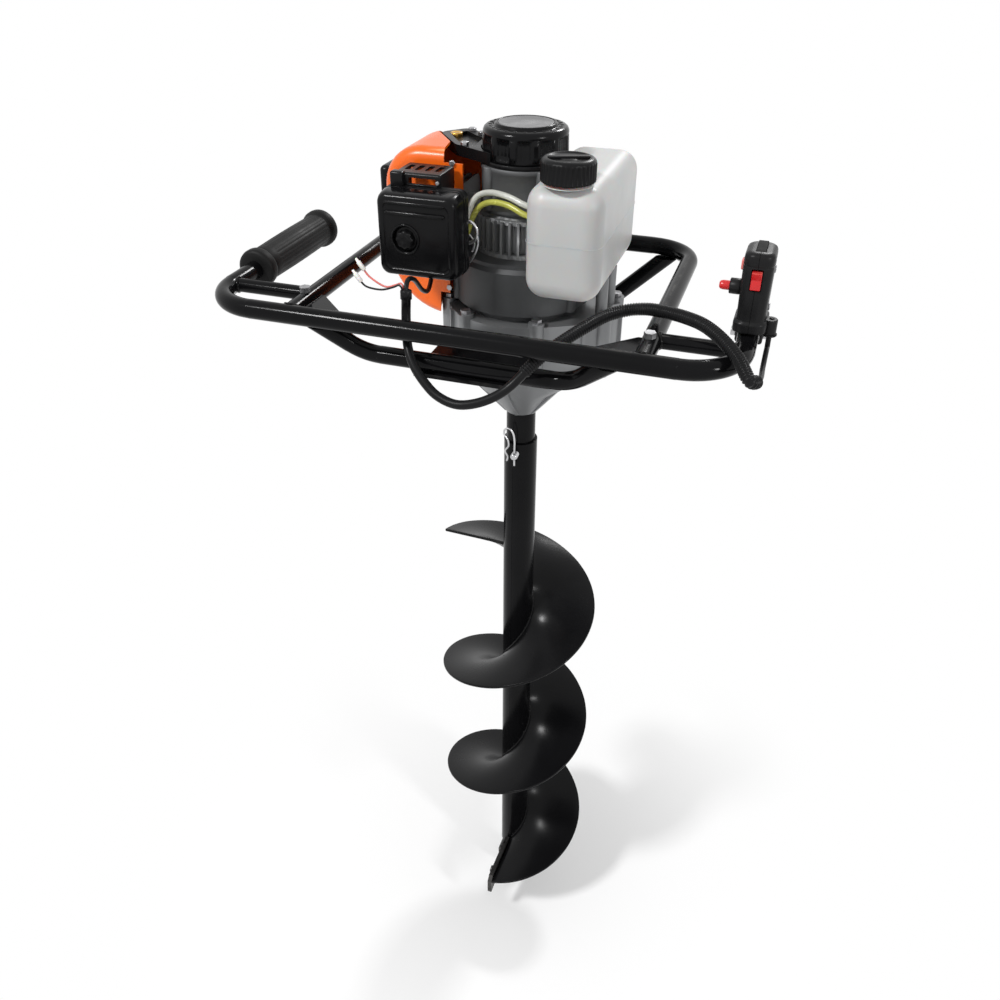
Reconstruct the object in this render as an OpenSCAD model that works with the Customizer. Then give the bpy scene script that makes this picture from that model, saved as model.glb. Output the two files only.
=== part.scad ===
// Earth auger: a petrol powerhead on a tubular carrying frame, driving a single-flight soil bit.
// The origin is the tip of the drill point, +Z runs up the drive axis, +Y points away from the front rail.

/* [Soil bit] */
// Outer diameter of the flight
flight_d = 200; // [140:5:240]
// Rise of the flight in one turn
flight_pitch = 202.5; // [160:2.5:215]
// Turns of the flight
flight_turns = 2.75; // [1.75:0.25:3]
// Thickness of the flight plate
flight_t = 4.5; // [3:0.5:7]
// Outer diameter of the bit's tube
bit_tube_d = 38.3; // [36:0.1:46]
// Length of the bit's tube
bit_tube_len = 727; // [700:1:800]
// Height of the flight's lower end above the end of the tube
flight_lift = 12.7; // [10:0.1:40]
// Length of the drill point below the tube
point_len = 73; // [50:1:100]
// Drop of the bolted cutter at its outer tip
cutter_drop = 24; // [16:1:40]
// Thickness of the cutter plate
cutter_t = 6; // [4:0.5:9]

/* [Coupling] */
// Diameter of the output shaft inside the bit's tube
shaft_d = 33; // [28:0.5:35]
// Shaft length that enters the tube
shaft_in = 55; // [40:1:80]
// Visible shaft between the gearbox and the tube
shaft_free = 38; // [30:1:50]
// Diameter of the cross pin
pin_d = 8; // [6:0.5:10]
// Depth of the cross pin below the top of the tube
pin_drop = 12; // [10:1:20]

/* [Gearbox] */
// Radius of the gearbox body round the drive axis
box_r = 78; // [74:1:82]
// Radius of the gearbox lobe round the layshaft
lobe_r = 53; // [52:1:58]
// Height of the upper gearbox case
case_h = 46; // [44:1:60]
// Height of the tapered lower cover
cover_h = 50; // [46:1:60]
// Height of the neck cone below the cover
neck_h = 34; // [30:1:44]
// Module of the first pair of gears
mod_a = 1.5; // [1.5:0.05:1.6]
// Teeth of the drum pinion
teeth_a1 = 10; // [10:1:12]
// Teeth of the layshaft gear
teeth_a2 = 58; // [54:1:58]
// Teeth of the layshaft pinion
teeth_b1 = 10; // [10:1:12]
// Teeth of the output gear
teeth_b2 = 41; // [36:1:42]
// Width of the first gears
face_a = 10; // [7:0.5:12]
// Width of the second gears
face_b = 14; // [10:0.5:15]

/* [Powerhead] */
// Outer radius of the fan housing
fan_r = 70; // [66:1:74]
// Height of the fan housing
fan_h = 59; // [56:1:66]
// Wall of the cast housings
cast_t = 6; // [4:0.5:8]
// Radius of the crank chamber
chamber_r = 42; // [40:0.5:44]
// Height of the crank chamber
chamber_h = 36; // [34:1:40]
// Radius of the upper crankcase
upper_r = 33; // [30:0.5:36]
// Height of the upper crankcase
upper_h = 47; // [44:1:54]
// Reach of the cooling ribs on the crank chamber
rib_reach = 8; // [4:1:10]
// Number of cooling ribs on the crank chamber
rib_count = 36; // [24:1:40]
// Radius of the recoil starter cover
starter_r = 41.5; // [40:0.5:44]
// Height of the recoil starter cover
starter_h = 32; // [28:1:36]
// Half width of the cylinder's cooling fins
fin_half = 37; // [32:1:38]
// Number of cylinder fins
fin_count = 8; // [5:1:9]
// Length of the orange cylinder cover along the cylinder
shroud_len = 95; // [92:1:104]
// Height of the orange cylinder cover
shroud_h = 171; // [150:1:174]
// Depth of the orange cylinder cover, front to back
shroud_w = 84; // [82:1:92]
// Wall of the moulded covers
shell_t = 2.5; // [2:0.25:4]

/* [Air box and silencer] */
// Width of the air box
air_w = 81; // [70:1:90]
// Height of the air box
air_h = 71; // [60:1:80]
// Depth of the air box cover
air_d = 24; // [18:1:30]
// Depth of the silencer
muff_d = 46; // [38:1:54]

/* [Fuel tank] */
// Width of the tank
tank_w = 72; // [66:1:80]
// Length of the tank, front to back
tank_l = 172; // [150:1:180]
// Height of the tank
tank_h = 106; // [98:1:112]
// Corner radius of the tank
tank_r = 14; // [8:1:16]
// Diameter of the fuel cap
cap_d = 50; // [44:1:54]
// Height of the fuel cap
cap_h = 22; // [18:1:26]
// Grip ribs round the fuel cap
cap_ribs = 30; // [20:1:40]

/* [Carrying frame] */
// Outer diameter of the frame tube
rail_d = 18; // [16:0.5:20]
// Wall of the frame tube
rail_wall = 1.8; // [1.2:0.2:3]
// Distance from the drive axis to the left handle
left_x = 250; // [235:1:270]
// Distance from the drive axis to the right handle
right_x = 240; // [232:1:260]
// Distance from the drive axis to the front rail
front_y = 200; // [190:1:215]
// Distance from the gearbox to the rear rail
rear_gap = 17; // [14:1:30]
// Half distance between the cross bars
cross_x = 162; // [155:1:172]
// Bend radius of the handlebar
bend_r = 48; // [40:1:56]
// Bend radius of the rear hoop
hoop_r = 45; // [36:1:52]
// Diameter of the short side braces
brace_d = 13.6; // [11:0.2:15]
// Drop of the front bow below the rail
bow_drop = 37; // [34:1:42]
// Drop of the rear bow below the rail
rear_drop = 86; // [82:1:90]
// Height of the frame plane above the gearbox
frame_lift = 40; // [34:1:46]
// Length of the left rubber grip
grip_len = 146; // [120:1:155]
// Diameter of the left rubber grip
grip_d = 35; // [30:0.5:38]

/* [Throttle handle] */
// Width of the throttle handle
hand_w = 25; // [24:0.5:28]
// Depth of the throttle handle
hand_d = 38; // [36:0.5:44]
// Height of the throttle handle
hand_h = 68; // [64:1:80]
// Length of the throttle trigger
trigger_len = 46; // [36:1:48]

/* [Fits] */
// Clearance between moving and fixed pieces
gap = 0.3; // [0.2:0.05:0.5]
// Radial running fit of shafts in bearings
run_fit = 0.05; // [0.02:0.01:0.1]

/* [Hidden] */
$fn = 64;
weld = 0.02;
over = 1;

// Heights of the stack, from the tip of the drill point up
z_tube = point_len;
z_flight = z_tube + flight_lift;
z_tube_top = z_tube + bit_tube_len;
z_neck = z_tube_top + shaft_free;
z_cover = z_neck + neck_h;
z_split = z_cover + cover_h;
z_case = z_split + case_h;
z_fan = z_case + fan_h;
z_chamber = z_fan + chamber_h;
z_crank = z_chamber + upper_h;
plate_t = 4;
z_plate = z_crank + plate_t;
z_top = z_plate + starter_h;
z_frame = z_case + frame_lift;
rear_y = box_r + rear_gap;
z_cyl = z_fan + chamber_h / 2 + 3;

tube_r = bit_tube_d / 2;
flight_r = flight_d / 2;
shaft_r = shaft_d / 2;
rail_r = rail_d / 2;
brace_r = brace_d / 2;

// Angle of the flight's lower end and the sweep step
end_angle = -92.2;
step_angle = 6;

// Gear train: both pairs share one centre distance
lay_x = mod_a * (teeth_a1 + teeth_a2) / 2;
mod_b = 2 * lay_x / (teeth_b1 + teeth_b2);
stub = 0.8;
backlash = 0.12;
gear_b_z = z_split - face_b + 8;
gear_a_z = gear_b_z + face_b + 14;

// Tube of the given radius along a straight line in the XY plane
module straight(a, b, r, z = 0) {
    d = b - a;
    translate([a.x, a.y, z]) rotate([0, 90, atan2(d.y, d.x)]) cylinder(h = norm(d), r = r);
}

function heading(a, b) = (b - a) / norm(b - a);
function turn_at(p, i) =
    let (u = heading(p[i - 1], p[i]), v = heading(p[i], p[i + 1]))
    atan2(u.x * v.y - u.y * v.x, u * v);
function cut_at(p, i, rb) =
    i == 0 || i == len(p) - 1 ? 0 : rb * tan(abs(turn_at(p, i)) / 2);

// Bent round bar through the corners p, with bends of radius rb that lap a little way into the straights
lap = 1;
step_in = 0.15;
module bent_bar(p, rb, r) {
    for (i = [0 : len(p) - 2]) {
        u = heading(p[i], p[i + 1]);
        straight(p[i] + u * cut_at(p, i, rb), p[i + 1] - u * cut_at(p, i + 1, rb), r);
    }
    for (i = [1 : len(p) - 2]) {
        u = heading(p[i - 1], p[i]);
        a = turn_at(p, i);
        start = p[i] - u * cut_at(p, i, rb);
        centre = start + sign(a) * rb * [-u.y, u.x];
        from = atan2(start.y - centre.y, start.x - centre.x);
        translate([centre.x, centre.y, 0]) rotate([0, 0, (a > 0 ? from : from + a) - lap])
            rotate_extrude(angle = abs(a) + 2 * lap) translate([rb, 0]) circle(r = r - step_in);
    }
}

// Rectangle with round corners, built from true arcs
module round_rect(w, h, r) {
    square([w - 2 * r, h], center = true);
    square([w, h - 2 * r], center = true);
    for (sx = [-1, 1], sy = [-1, 1])
        translate([sx * (w / 2 - r), sy * (h / 2 - r)]) circle(r = r);
}

// Flat ring
module ring(r_out, r_in, h) {
    difference() {
        cylinder(h = h, r = r_out);
        translate([0, 0, -over]) cylinder(h = h + 2 * over, r = r_in);
    }
}

// Block between two corners with round upright edges and chamfered rims
module soft_block(lo, hi, r, rim) {
    size = hi - lo;
    translate([(lo.x + hi.x) / 2, (lo.y + hi.y) / 2, lo.z]) hull() {
        linear_extrude(size.z) round_rect(size.x - 2 * rim, size.y - 2 * rim, r - rim / 2, $fn = 32);
        translate([0, 0, rim]) linear_extrude(size.z - 2 * rim) round_rect(size.x, size.y, r, $fn = 32);
    }
}

// Closed skin through rings of points; rings run counter-clockwise seen from the last one
module skin(rings) {
    m = len(rings[0]);
    n = len(rings);
    sides = [for (k = [0 : n - 2], j = [0 : m - 1])
        let (a = k * m + j, b = k * m + (j + 1) % m, c = a + m, d = b + m)
        each [[a, c, d], [a, d, b]]];
    start = [for (j = [0 : m - 1]) j];
    finish = [for (j = [m - 1 : -1 : 0]) (n - 1) * m + j];
    polyhedron(points = [for (ring = rings) each ring], faces = concat([start, finish], sides));
}

// Closed skin whose last ring joins its first: out along the outside and back along the bore
module hose(rings) {
    m = len(rings[0]);
    n = len(rings);
    sides = [for (k = [0 : n - 1], j = [0 : m - 1])
        let (next = (k + 1) % n, a = k * m + j, b = k * m + (j + 1) % m, c = next * m + j,
            d = next * m + (j + 1) % m)
        each [[a, c, d], [a, d, b]]];
    polyhedron(points = [for (ring = rings) each ring], faces = sides);
}

// Smooth route through hand-placed points
function spline_point(a, b, c, d, t) =
    0.5 * (2 * b + (c - a) * t + (2 * a - 5 * b + 4 * c - d) * t * t
        + (3 * b - a - 3 * c + d) * t * t * t);
function smooth(p, k) = [
    for (i = [0 : len(p) - 2], j = [0 : k - 1])
        spline_point(p[max(i - 1, 0)], p[i], p[i + 1], p[min(i + 2, len(p) - 1)], j / k),
    p[len(p) - 1]
];
function run_sums(p) = [
    for (i = 0, s = 0; i < len(p); i = i + 1, s = s + (i < len(p) ? norm(p[i] - p[i - 1]) : 0)) s
];
function column(p, s, axis) = [for (i = [0 : len(p) - 1]) [s[i], p[i][axis]]];
function at(cols, s) = [lookup(s, cols[0]), lookup(s, cols[1]), lookup(s, cols[2])];
function unit(v) = v / norm(v);
function square_to(n, t) = unit(n - t * (n * t));

// Rings along a route: stations is a list of [distance, radius]
function rings_on(p, stations, sides) =
    let (
        s = run_sums(p),
        cols = [for (axis = [0 : 2]) column(p, s, axis)],
        len_all = s[len(s) - 1],
        mid = [for (q = stations) at(cols, q[0])],
        way = [for (q = stations)
            unit(at(cols, min(q[0] + over, len_all)) - at(cols, max(q[0] - over, 0)))],
        first = square_to(abs(way[0].z) < 0.9 ? [0, 0, 1] : [1, 0, 0], way[0])
    )
    [for (i = 0, n = first; i < len(stations); i = i + 1,
            n = i < len(stations) ? square_to(n, way[i]) : n)
        let (side = cross(way[i], n))
        [for (j = [0 : sides - 1])
            mid[i] + stations[i][1] * (cos(j * 360 / sides) * n + sin(j * 360 / sides) * side)]];

// Plain cord of radius r along a route
module cord(points, r, sides, step) {
    p = smooth(points, 8);
    s = run_sums(p);
    n = ceil(s[len(s) - 1] / step);
    skin(rings_on(p, [for (i = [0 : n]) [s[len(s) - 1] * i / n, r]], sides));
}

// Involute gear outline with short teeth
function involute(a) = tan(a) * 180 / PI - a;
function tooth_half(z, m, r) =
    let (rb = m * z / 2 * cos(20))
    90 / z * (1 - backlash) + involute(20) - involute(acos(min(1, rb / max(r, rb))));
module gear_outline(z, m) {
    rp = m * z / 2;
    radii = [rp - 1.1 * m, max(rp - 0.5 * m, rp * cos(20)), rp, rp + stub * m];
    half = [for (r = radii) tooth_half(z, m, r)];
    polygon([for (i = [0 : z - 1]) each concat(
        [for (k = [0 : 3]) radii[k] * [cos(i * 360 / z - half[k]), sin(i * 360 / z - half[k])]],
        [for (k = [3 : -1 : 0]) radii[k] * [cos(i * 360 / z + half[k]), sin(i * 360 / z + half[k])]]
    )]);
}

// Hexagon-head screw along +Z, head on top of z = 0
module screw(r, length, head) {
    cylinder(h = head, r = r * 1.8, $fn = 6);
    translate([0, 0, -length]) cylinder(h = length, r = r);
}

// Soil bit

module auger_tube() color("#141414") difference() {
    translate([0, 0, z_tube]) cylinder(h = bit_tube_len, r = tube_r);
    translate([0, 0, z_tube + 12]) cylinder(h = bit_tube_len, r = shaft_r + run_fit);
    pin_hole();
}

module pin_hole() {
    translate([0, 0, z_tube_top - pin_drop]) rotate([90, 0, 0])
        cylinder(h = 4 * tube_r, r = pin_d / 2 + run_fit, center = true);
}

module auger_flight() color("#101010") {
    steps = ceil(flight_turns * 360 / step_angle);
    r_in = tube_r / cos(step_angle / 2) + weld;
    skin([for (i = [0 : steps])
        let (a = end_angle + flight_turns * 360 * i / steps,
            z = z_flight + flight_pitch * flight_turns * i / steps,
            u = [cos(a), sin(a), 0])
        [u * r_in + [0, 0, z - flight_t / 2], u * r_in + [0, 0, z + flight_t / 2],
            u * flight_r + [0, 0, z + flight_t / 2], u * flight_r + [0, 0, z - flight_t / 2]]]);
}

// Hardened plate bolted ahead of the flight's lower edge, deeper at its outer tip
module cutting_blade() color("#1a1a1a") {
    inner = tube_r + 2;
    rotate([0, 0, end_angle]) translate([0, -weld, 0]) rotate([90, 0, 0]) linear_extrude(cutter_t)
        polygon([[inner, z_flight + 8], [flight_r - 6, z_flight + 8], [flight_r, z_flight],
            [flight_r, z_flight - cutter_drop], [flight_r - 14, z_flight - cutter_drop + 2],
            [inner, z_flight - 10]]);
    for (r = [0.4, 0.78])
        rotate([0, 0, end_angle]) translate([r * flight_r, -cutter_t - weld, z_flight])
            rotate([90, 0, 0]) cylinder(h = 3, r = 5);
}

// Fishtail point: two ground wings round a short core
module drill_point() color("#1c1c1c") difference() {
    union() {
        translate([0, 0, point_len * 0.3]) cylinder(h = point_len * 0.7 - weld, r1 = 6, r2 = tube_r - 3);
        rotate([0, 0, 35]) translate([0, 4, 0]) rotate([90, 0, 0]) linear_extrude(8)
            polygon([[0, 0], [24, point_len * 0.34], [24, point_len * 0.6], [tube_r - 4, point_len - weld],
                [4 - tube_r, point_len - weld], [-24, point_len * 0.6], [-24, point_len * 0.34]]);
    }
    for (side = [0, 180])
        rotate([0, 0, 35 + side]) translate([2, 4, -over]) rotate([0, 0, -14])
            cube([40, 8, point_len * 0.55]);
}

module coupling_pin() color("#c8c8c8") {
    y_end = tube_r + 9;
    translate([0, 0, z_tube_top - pin_drop]) {
        difference() {
            union() {
                rotate([90, 0, 0]) cylinder(h = 2 * y_end, r = pin_d / 2, center = true);
                translate([0, tube_r + gap + 4, 0]) rotate([90, 0, 0]) cylinder(h = 4, r = pin_d);
            }
            translate([0, -tube_r - 5, 0]) cylinder(h = 2 * pin_d, r = 1.3, center = true);
        }
    }
    pin_clip();
}

// Spring clip through the end of the pin: one straight leg and one wavy leg
clip_r = 1.1;
clip_path = [
    [0, 0, -12], [0, 0, -4], [0, 0, 8], [0, 0, 20], [-2, 0, 30], [-7, 0, 35], [-12, 0, 32],
    [-12, 0, 26], [-8, 0, 20], [-7, 0, 12], [-11, 0, 5], [-8, 0, -2], [-9, 0, -8]
];
module pin_clip() {
    translate([0, -tube_r - 5, z_tube_top - pin_drop]) cord(clip_path, clip_r, 8, 3);
}

// Gearbox

// Body round the drive axis and the lobe round the layshaft, joined by their tangents
module lobes(r1, r2, d) {
    b = acos((r1 - r2) / d);
    circle(r = r1);
    translate([d, 0]) circle(r = r2);
    polygon([[r1 * cos(b), r1 * sin(b)], [d + r2 * cos(b), r2 * sin(b)],
        [d + r2 * cos(b), -r2 * sin(b)], [r1 * cos(b), -r1 * sin(b)]]);
}

// Places of the flange screws, round the body and the lobe
lug_r = 8;
pad_in = box_r * 0.7;
case_rib = 3;
lug_places = concat(
    [for (a = [122, 160, 200, 238]) (box_r - 1) * [cos(a), sin(a)]],
    [for (s = [-1, 1]) [34, s * (box_r - 12)]],
    [for (a = [-35, 35]) [lay_x, 0] + (lobe_r - 1) * [cos(a), sin(a)]]
);

module gearbox_case() color("#b9bcbe") difference() {
    union() {
        translate([0, 0, z_split]) linear_extrude(case_h) lobes(box_r, lobe_r, lay_x);
        for (p = lug_places) translate([p.x, p.y, z_split]) cylinder(h = case_h + 4, r = lug_r);
        for (a = [141, 180, 219]) rotate([0, 0, a]) translate([box_r - 2, -1.5, z_split + 4])
            cube([2 + case_rib, 3, case_h - 4]);
        for (a = [-60, 0, 60]) translate([lay_x, 0, 0]) rotate([0, 0, a]) translate([lobe_r - 2, -1.5,
            z_split + 4])
            cube([2 + case_rib, 3, case_h - 4]);
        for (s = [-1, 1]) translate([88, s * 18, z_case - 6]) cylinder(h = tank_z - z_case + 6 - weld,
            r = 6);
        for (t = [-1, 1]) translate([-pad_w / 2, t > 0 ? pad_in : -pad_y + weld, mount_z - 15])
            cube([pad_w, pad_y - pad_in - weld, pad_h]);
    }
    translate([lay_x, 0, z_split - over])
        cylinder(h = gear_a_z + face_a + 2 - z_split + over, r = mod_a * (teeth_a2 / 2 + stub) + 1.5);
    translate([0, 0, z_split - over])
        cylinder(h = gear_b_z + face_b + 3 - z_split + over, r = mod_b * (teeth_b2 / 2 + stub) + 1.5);
    translate([0, 0, z_split]) cylinder(h = gear_a_z + face_a + 2 - z_split,
        r = mod_a * (teeth_a1 / 2 + 1) + 2);
    translate([0, 0, z_split]) cylinder(h = case_h + over, r = drum_shaft_r + 1);
    translate([0, 0, z_case - bearing_h - 1]) cylinder(h = bearing_h + 2 * over, r = bearing_r + weld);
    translate([lay_x, 0, gear_a_z + face_a + 1]) cylinder(h = bearing_h + 1 + weld, r = bearing_r + weld);
    for (p = lug_places) translate([p.x, p.y, z_split - over]) cylinder(h = case_h + 6, r = 3 + weld);
    for (s = [-1, 1], t = [-1, 1]) translate([s * mount_x, t * (pad_y - 6), mount_z]) rotate([90, 0, 0])
        cylinder(h = 14, r = 4 + weld, center = true);
}

drum_shaft_r = 6;
lay_shaft_r = 6;
out_shaft_r = 12;
bearing_r = 13;
bearing_h = 7;
out_bearing_r = 21;
out_bearing_h = 11;

module gearbox_cover() color("#b4b7b9") difference() {
    union() {
        hull() {
            translate([0, 0, z_split - 12]) linear_extrude(12 - weld)
                lobes(box_r - 2, lobe_r - 2, lay_x, $fn = 48);
            translate([0, 0, z_cover]) cylinder(h = 4, r = box_r * 0.6, $fn = 48);
        }
        translate([0, 0, z_neck]) cylinder(h = neck_h + 2, r1 = shaft_r + 1.5, r2 = box_r * 0.6);
        for (a = [-90 : 60 : 210]) rotate([0, 0, a]) rotate([90, 0, 0]) translate([0, 0, -2])
            linear_extrude(4)
            polygon([[shaft_r - 1, z_neck], [shaft_r + 2.5, z_neck], [box_r * 0.6 + 7, z_cover + 5],
                [box_r - 6, z_split - 13], [shaft_r - 1, z_split - 13]]);
        for (p = lug_places) translate([p.x, p.y, z_split - 14]) cylinder(h = 14 - weld, r = lug_r);
    }
    translate([0, 0, gear_b_z - 2]) cylinder(h = 60, r = mod_b * (teeth_b2 / 2 + stub) + 1.5);
    translate([lay_x, 0, gear_b_z - 2]) cylinder(h = 60, r = mod_b * (teeth_b1 / 2 + stub) + 2.5);
    translate([lay_x, 0, gear_b_z - 2 - bearing_h]) cylinder(h = 60, r = bearing_r + weld);
    translate([0, 0, z_neck - over]) cylinder(h = 200, r = out_shaft_r + 1);
    for (z = out_bearing_z) translate([0, 0, z - weld]) cylinder(h = out_bearing_h + 2 * weld,
        r = out_bearing_r + weld);
    translate([0, 0, gear_b_z - 2 - out_bearing_h - weld]) cylinder(h = out_bearing_h + 4,
        r = out_bearing_r + weld);
    for (p = lug_places) translate([p.x, p.y, z_split - 20]) cylinder(h = 24, r = 3 + weld);
}

out_bearing_z = [z_cover - 12, gear_b_z - 2 - out_bearing_h];

module gearbox_bolts() color("#9a9a9a")
    for (p = lug_places) translate([p.x, p.y, z_case + 4 + weld]) screw(3, case_h + 12, 4);

module layshaft() color("#8f9296") translate([lay_x, 0, 0]) {
    translate([0, 0, gear_a_z]) rotate([0, 0, 180 + 180 / teeth_a2])
        linear_extrude(face_a) gear_outline(teeth_a2, mod_a);
    translate([0, 0, gear_b_z]) rotate([0, 0, 180]) linear_extrude(face_b) gear_outline(teeth_b1, mod_b);
    translate([0, 0, gear_b_z - 2 - bearing_h]) cylinder(h = gear_a_z + face_a + 1 + bearing_h - gear_b_z + 2 + bearing_h, r = lay_shaft_r);
}

module output_shaft() color("#1b1b1b") difference() {
    union() {
        translate([0, 0, gear_b_z]) rotate([0, 0, 180 / teeth_b2])
            linear_extrude(face_b) gear_outline(teeth_b2, mod_b);
        translate([0, 0, z_neck - over]) cylinder(h = gear_b_z + face_b + 2 - z_neck + over,
            r = out_shaft_r);
        translate([0, 0, z_tube_top - shaft_in]) cylinder(h = shaft_in + shaft_free - gap, r = shaft_r);
    }
    pin_hole();
}

// Ball bearings, one ring each, in the crankcase and the gearbox
module bearings() color("#d0d2d4") {
    translate([0, 0, z_fan - 8]) ring(crank_seat_r, crank_r + run_fit, 11);
    translate([0, 0, z_chamber + 4]) ring(crank_seat_r, crank_r + run_fit, 11);
    translate([0, 0, z_case - bearing_h]) ring(bearing_r, drum_shaft_r + run_fit, bearing_h);
    translate([lay_x, 0, gear_a_z + face_a + 1.5]) ring(bearing_r, lay_shaft_r + run_fit, bearing_h - 0.5);
    translate([lay_x, 0, gear_b_z - 2 - bearing_h + 0.5]) ring(bearing_r, lay_shaft_r + run_fit, bearing_h);
    for (z = out_bearing_z) translate([0, 0, z]) ring(out_bearing_r, out_shaft_r + run_fit, out_bearing_h);
}

// Clutch and fan

crank_r = 8;
crank_seat_r = 16;
drum_r = 38.5;
drum_t = 2.5;
z_drum = z_case + 10;
z_fly = z_drum + 25;
fly_r = 54;

module clutch_drum() color("#7d8084") {
    translate([0, 0, z_drum]) ring(drum_r + drum_t, drum_r, 20);
    translate([0, 0, z_drum]) cylinder(h = 3, r = drum_r + drum_t);
    translate([0, 0, gear_a_z]) cylinder(h = z_drum + over - gear_a_z, r = drum_shaft_r);
    translate([0, 0, gear_a_z]) linear_extrude(face_a) gear_outline(teeth_a1, mod_a);
}

// Two centrifugal shoes on the underside of the flywheel
module clutch_shoes() color("#6b5f55")
    for (side = [0, 180]) rotate([0, 0, side]) translate([0, 0, z_drum + 5]) {
        intersection() {
            ring(drum_r - 2, 16, 14);
            translate([4, -40, -over]) cube([80, 80, 20]);
        }
        translate([24, 0, 14]) cylinder(h = z_fly - z_drum - 19 - weld, r = 4);
    }

module flywheel_fan() color("#a7aaad") difference() {
    union() {
        translate([0, 0, z_fly]) cylinder(h = 6, r = fly_r);
        translate([0, 0, z_fly]) cylinder(h = 14, r = 18);
        for (i = [0 : 15]) rotate([0, 0, i * 360 / 16]) translate([22, -1, z_fly + 5])
            cube([fly_r - 24, 2, 9]);
    }
    translate([0, 0, z_fly - over]) cylinder(h = 20, r = crank_r + weld);
}

module fan_housing() color("#8b8f91") difference() {
    union() {
        translate([0, 0, z_case + weld]) cylinder(h = 9, r = fan_r - 8);
        translate([0, 0, z_case + 8]) cylinder(h = fan_h - 16, r = fan_r);
        translate([0, 0, z_fan - 8]) cylinder(h = 4, r1 = fan_r, r2 = fan_r - 3);
        translate([0, 0, z_fan - 4]) cylinder(h = 4 - weld, r = fan_r - 3);
        for (a = [30, 150, 210, 330]) rotate([0, 0, a])
            translate([fan_r - 2, 0, z_case + 8]) cylinder(h = fan_h - 14, r = 6);
    }
    translate([0, 0, z_case + 13]) cylinder(h = fan_h - 19, r = fan_r - cast_t);
    translate([0, 0, z_case + 6]) cylinder(h = fan_h - 13, r = drum_r + drum_t + 4);
    translate([0, 0, z_case - over]) cylinder(h = fan_h, r = drum_shaft_r + 2);
    translate([0, 0, z_case + 20]) cylinder(h = fan_h, r = crank_seat_r + 5);
}

module ignition_coil() color("#222222") intersection() {
    union() {
        translate([-fan_r, -12, z_fly + 1]) cube([fan_r - fly_r - 3, 24, 14]);
        for (s = [-1, 1]) translate([-fly_r - 4, s * 9 - 2, z_fly + 3]) cube([3, 4, 8]);
    }
    cylinder(h = 2 * z_fly, r = fan_r - cast_t - weld);
}

// Engine

module crankcase() color("#9da1a3") difference() {
    union() {
        translate([0, 0, z_fan]) cylinder(h = chamber_h, r = chamber_r);
        translate([0, 0, z_fan]) cylinder(h = 4, r = chamber_r + rib_reach);
        translate([0, 0, z_chamber - 4]) cylinder(h = 4, r = chamber_r + rib_reach / 2);
        for (i = [0 : rib_count - 1]) rotate([0, 0, i * 360 / rib_count])
            translate([chamber_r - 2, -1.2, z_fan]) cube([rib_reach + 2, 2.4, chamber_h - 1]);
        translate([0, 0, z_chamber]) cylinder(h = 10, r1 = chamber_r, r2 = upper_r);
        translate([0, 0, z_chamber]) cylinder(h = upper_h, r = upper_r);
        for (a = [-100, -80, 60, 100, 240]) rotate([0, 0, a])
            translate([upper_r - 1, 0, z_chamber]) cylinder(h = upper_h, r = 4);
        translate([0, 0, z_fan - 9]) cylinder(h = 10, r = crank_seat_r + 4.5);
        translate([-cyl_x, -24, z_fan]) cube([cyl_x - 30, 48, chamber_h]);
    }
    translate([-2 * cyl_x, -cyl_x, z_fan - over]) cube([cyl_x, 2 * cyl_x, chamber_h + 2 * over]);
    translate([0, 0, z_fan + 4]) cylinder(h = chamber_h - 4, r = chamber_r - cast_t);
    translate([0, 0, z_fan - 20]) cylinder(h = 200, r = crank_r + 1.5);
    translate([0, 0, z_fan - 8 - weld]) cylinder(h = 12 + over, r = crank_seat_r + weld);
    translate([0, 0, z_chamber - over]) cylinder(h = 5 + 11 + over, r = crank_seat_r + weld);
}

// Shaft with full-round webs, the flywheel seat below and the starter cup on top
module crankshaft() color("#c3c6c8") {
    translate([0, 0, z_drum + 12]) cylinder(h = z_fan + 7 - z_drum - 12, r = crank_r);
    translate([0, 0, z_fan + 6]) cylinder(h = 9, r = chamber_r - cast_t - 2);
    translate([0, 0, z_fan + 6]) translate([15, 0, 8]) cylinder(h = 14, r = 6);
    translate([0, 0, z_fan + 25]) cylinder(h = 7, r = chamber_r - cast_t - 2);
    translate([0, 0, z_fan + 31]) cylinder(h = z_crank - z_fan - 31 + 2, r = crank_r);
    translate([0, 0, z_crank]) ring(17, 14, 8);
    translate([0, 0, z_crank]) cylinder(h = 2, r = 17);
}

// Engine block: barrel along -X with its fins, the two ports and the plug hole
cyl_x = 48;
cyl_len = 76;
fin_t = 2.2;
port_x = cyl_x + 16;
port_y = shroud_w / 2 + 1;
plug_r = 5;

module along_x(at_x) { translate([at_x, 0, z_cyl]) rotate([0, -90, 0]) children(); }

module engine_block() color("#aeb2b4") difference() {
    union() {
        along_x(-cyl_x - weld) {
            cylinder(h = cyl_len, r = 25);
            linear_extrude(8) round_rect(chamber_h - 8, 50, 6);
            for (i = [0 : fin_count - 1]) translate([0, 0, 12 + i * (cyl_len - 16) / (fin_count - 1)])
                linear_extrude(fin_t) round_rect(2 * fin_half, 2 * fin_half, 9);
            cylinder(h = cyl_len + 4, r = 12);
        }
        for (s = [-1, 1]) translate([-port_x, s * 20, z_cyl]) rotate([-s * 90, 0, 0])
            cylinder(h = port_y - 20 - weld, r = 13);
    }
    translate([0, 0, z_case]) cylinder(h = fan_h + gap, r = fan_r + 6 + gap);
    along_x(-cyl_x - 40) cylinder(h = cyl_len, r = plug_r + weld);
}

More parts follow.
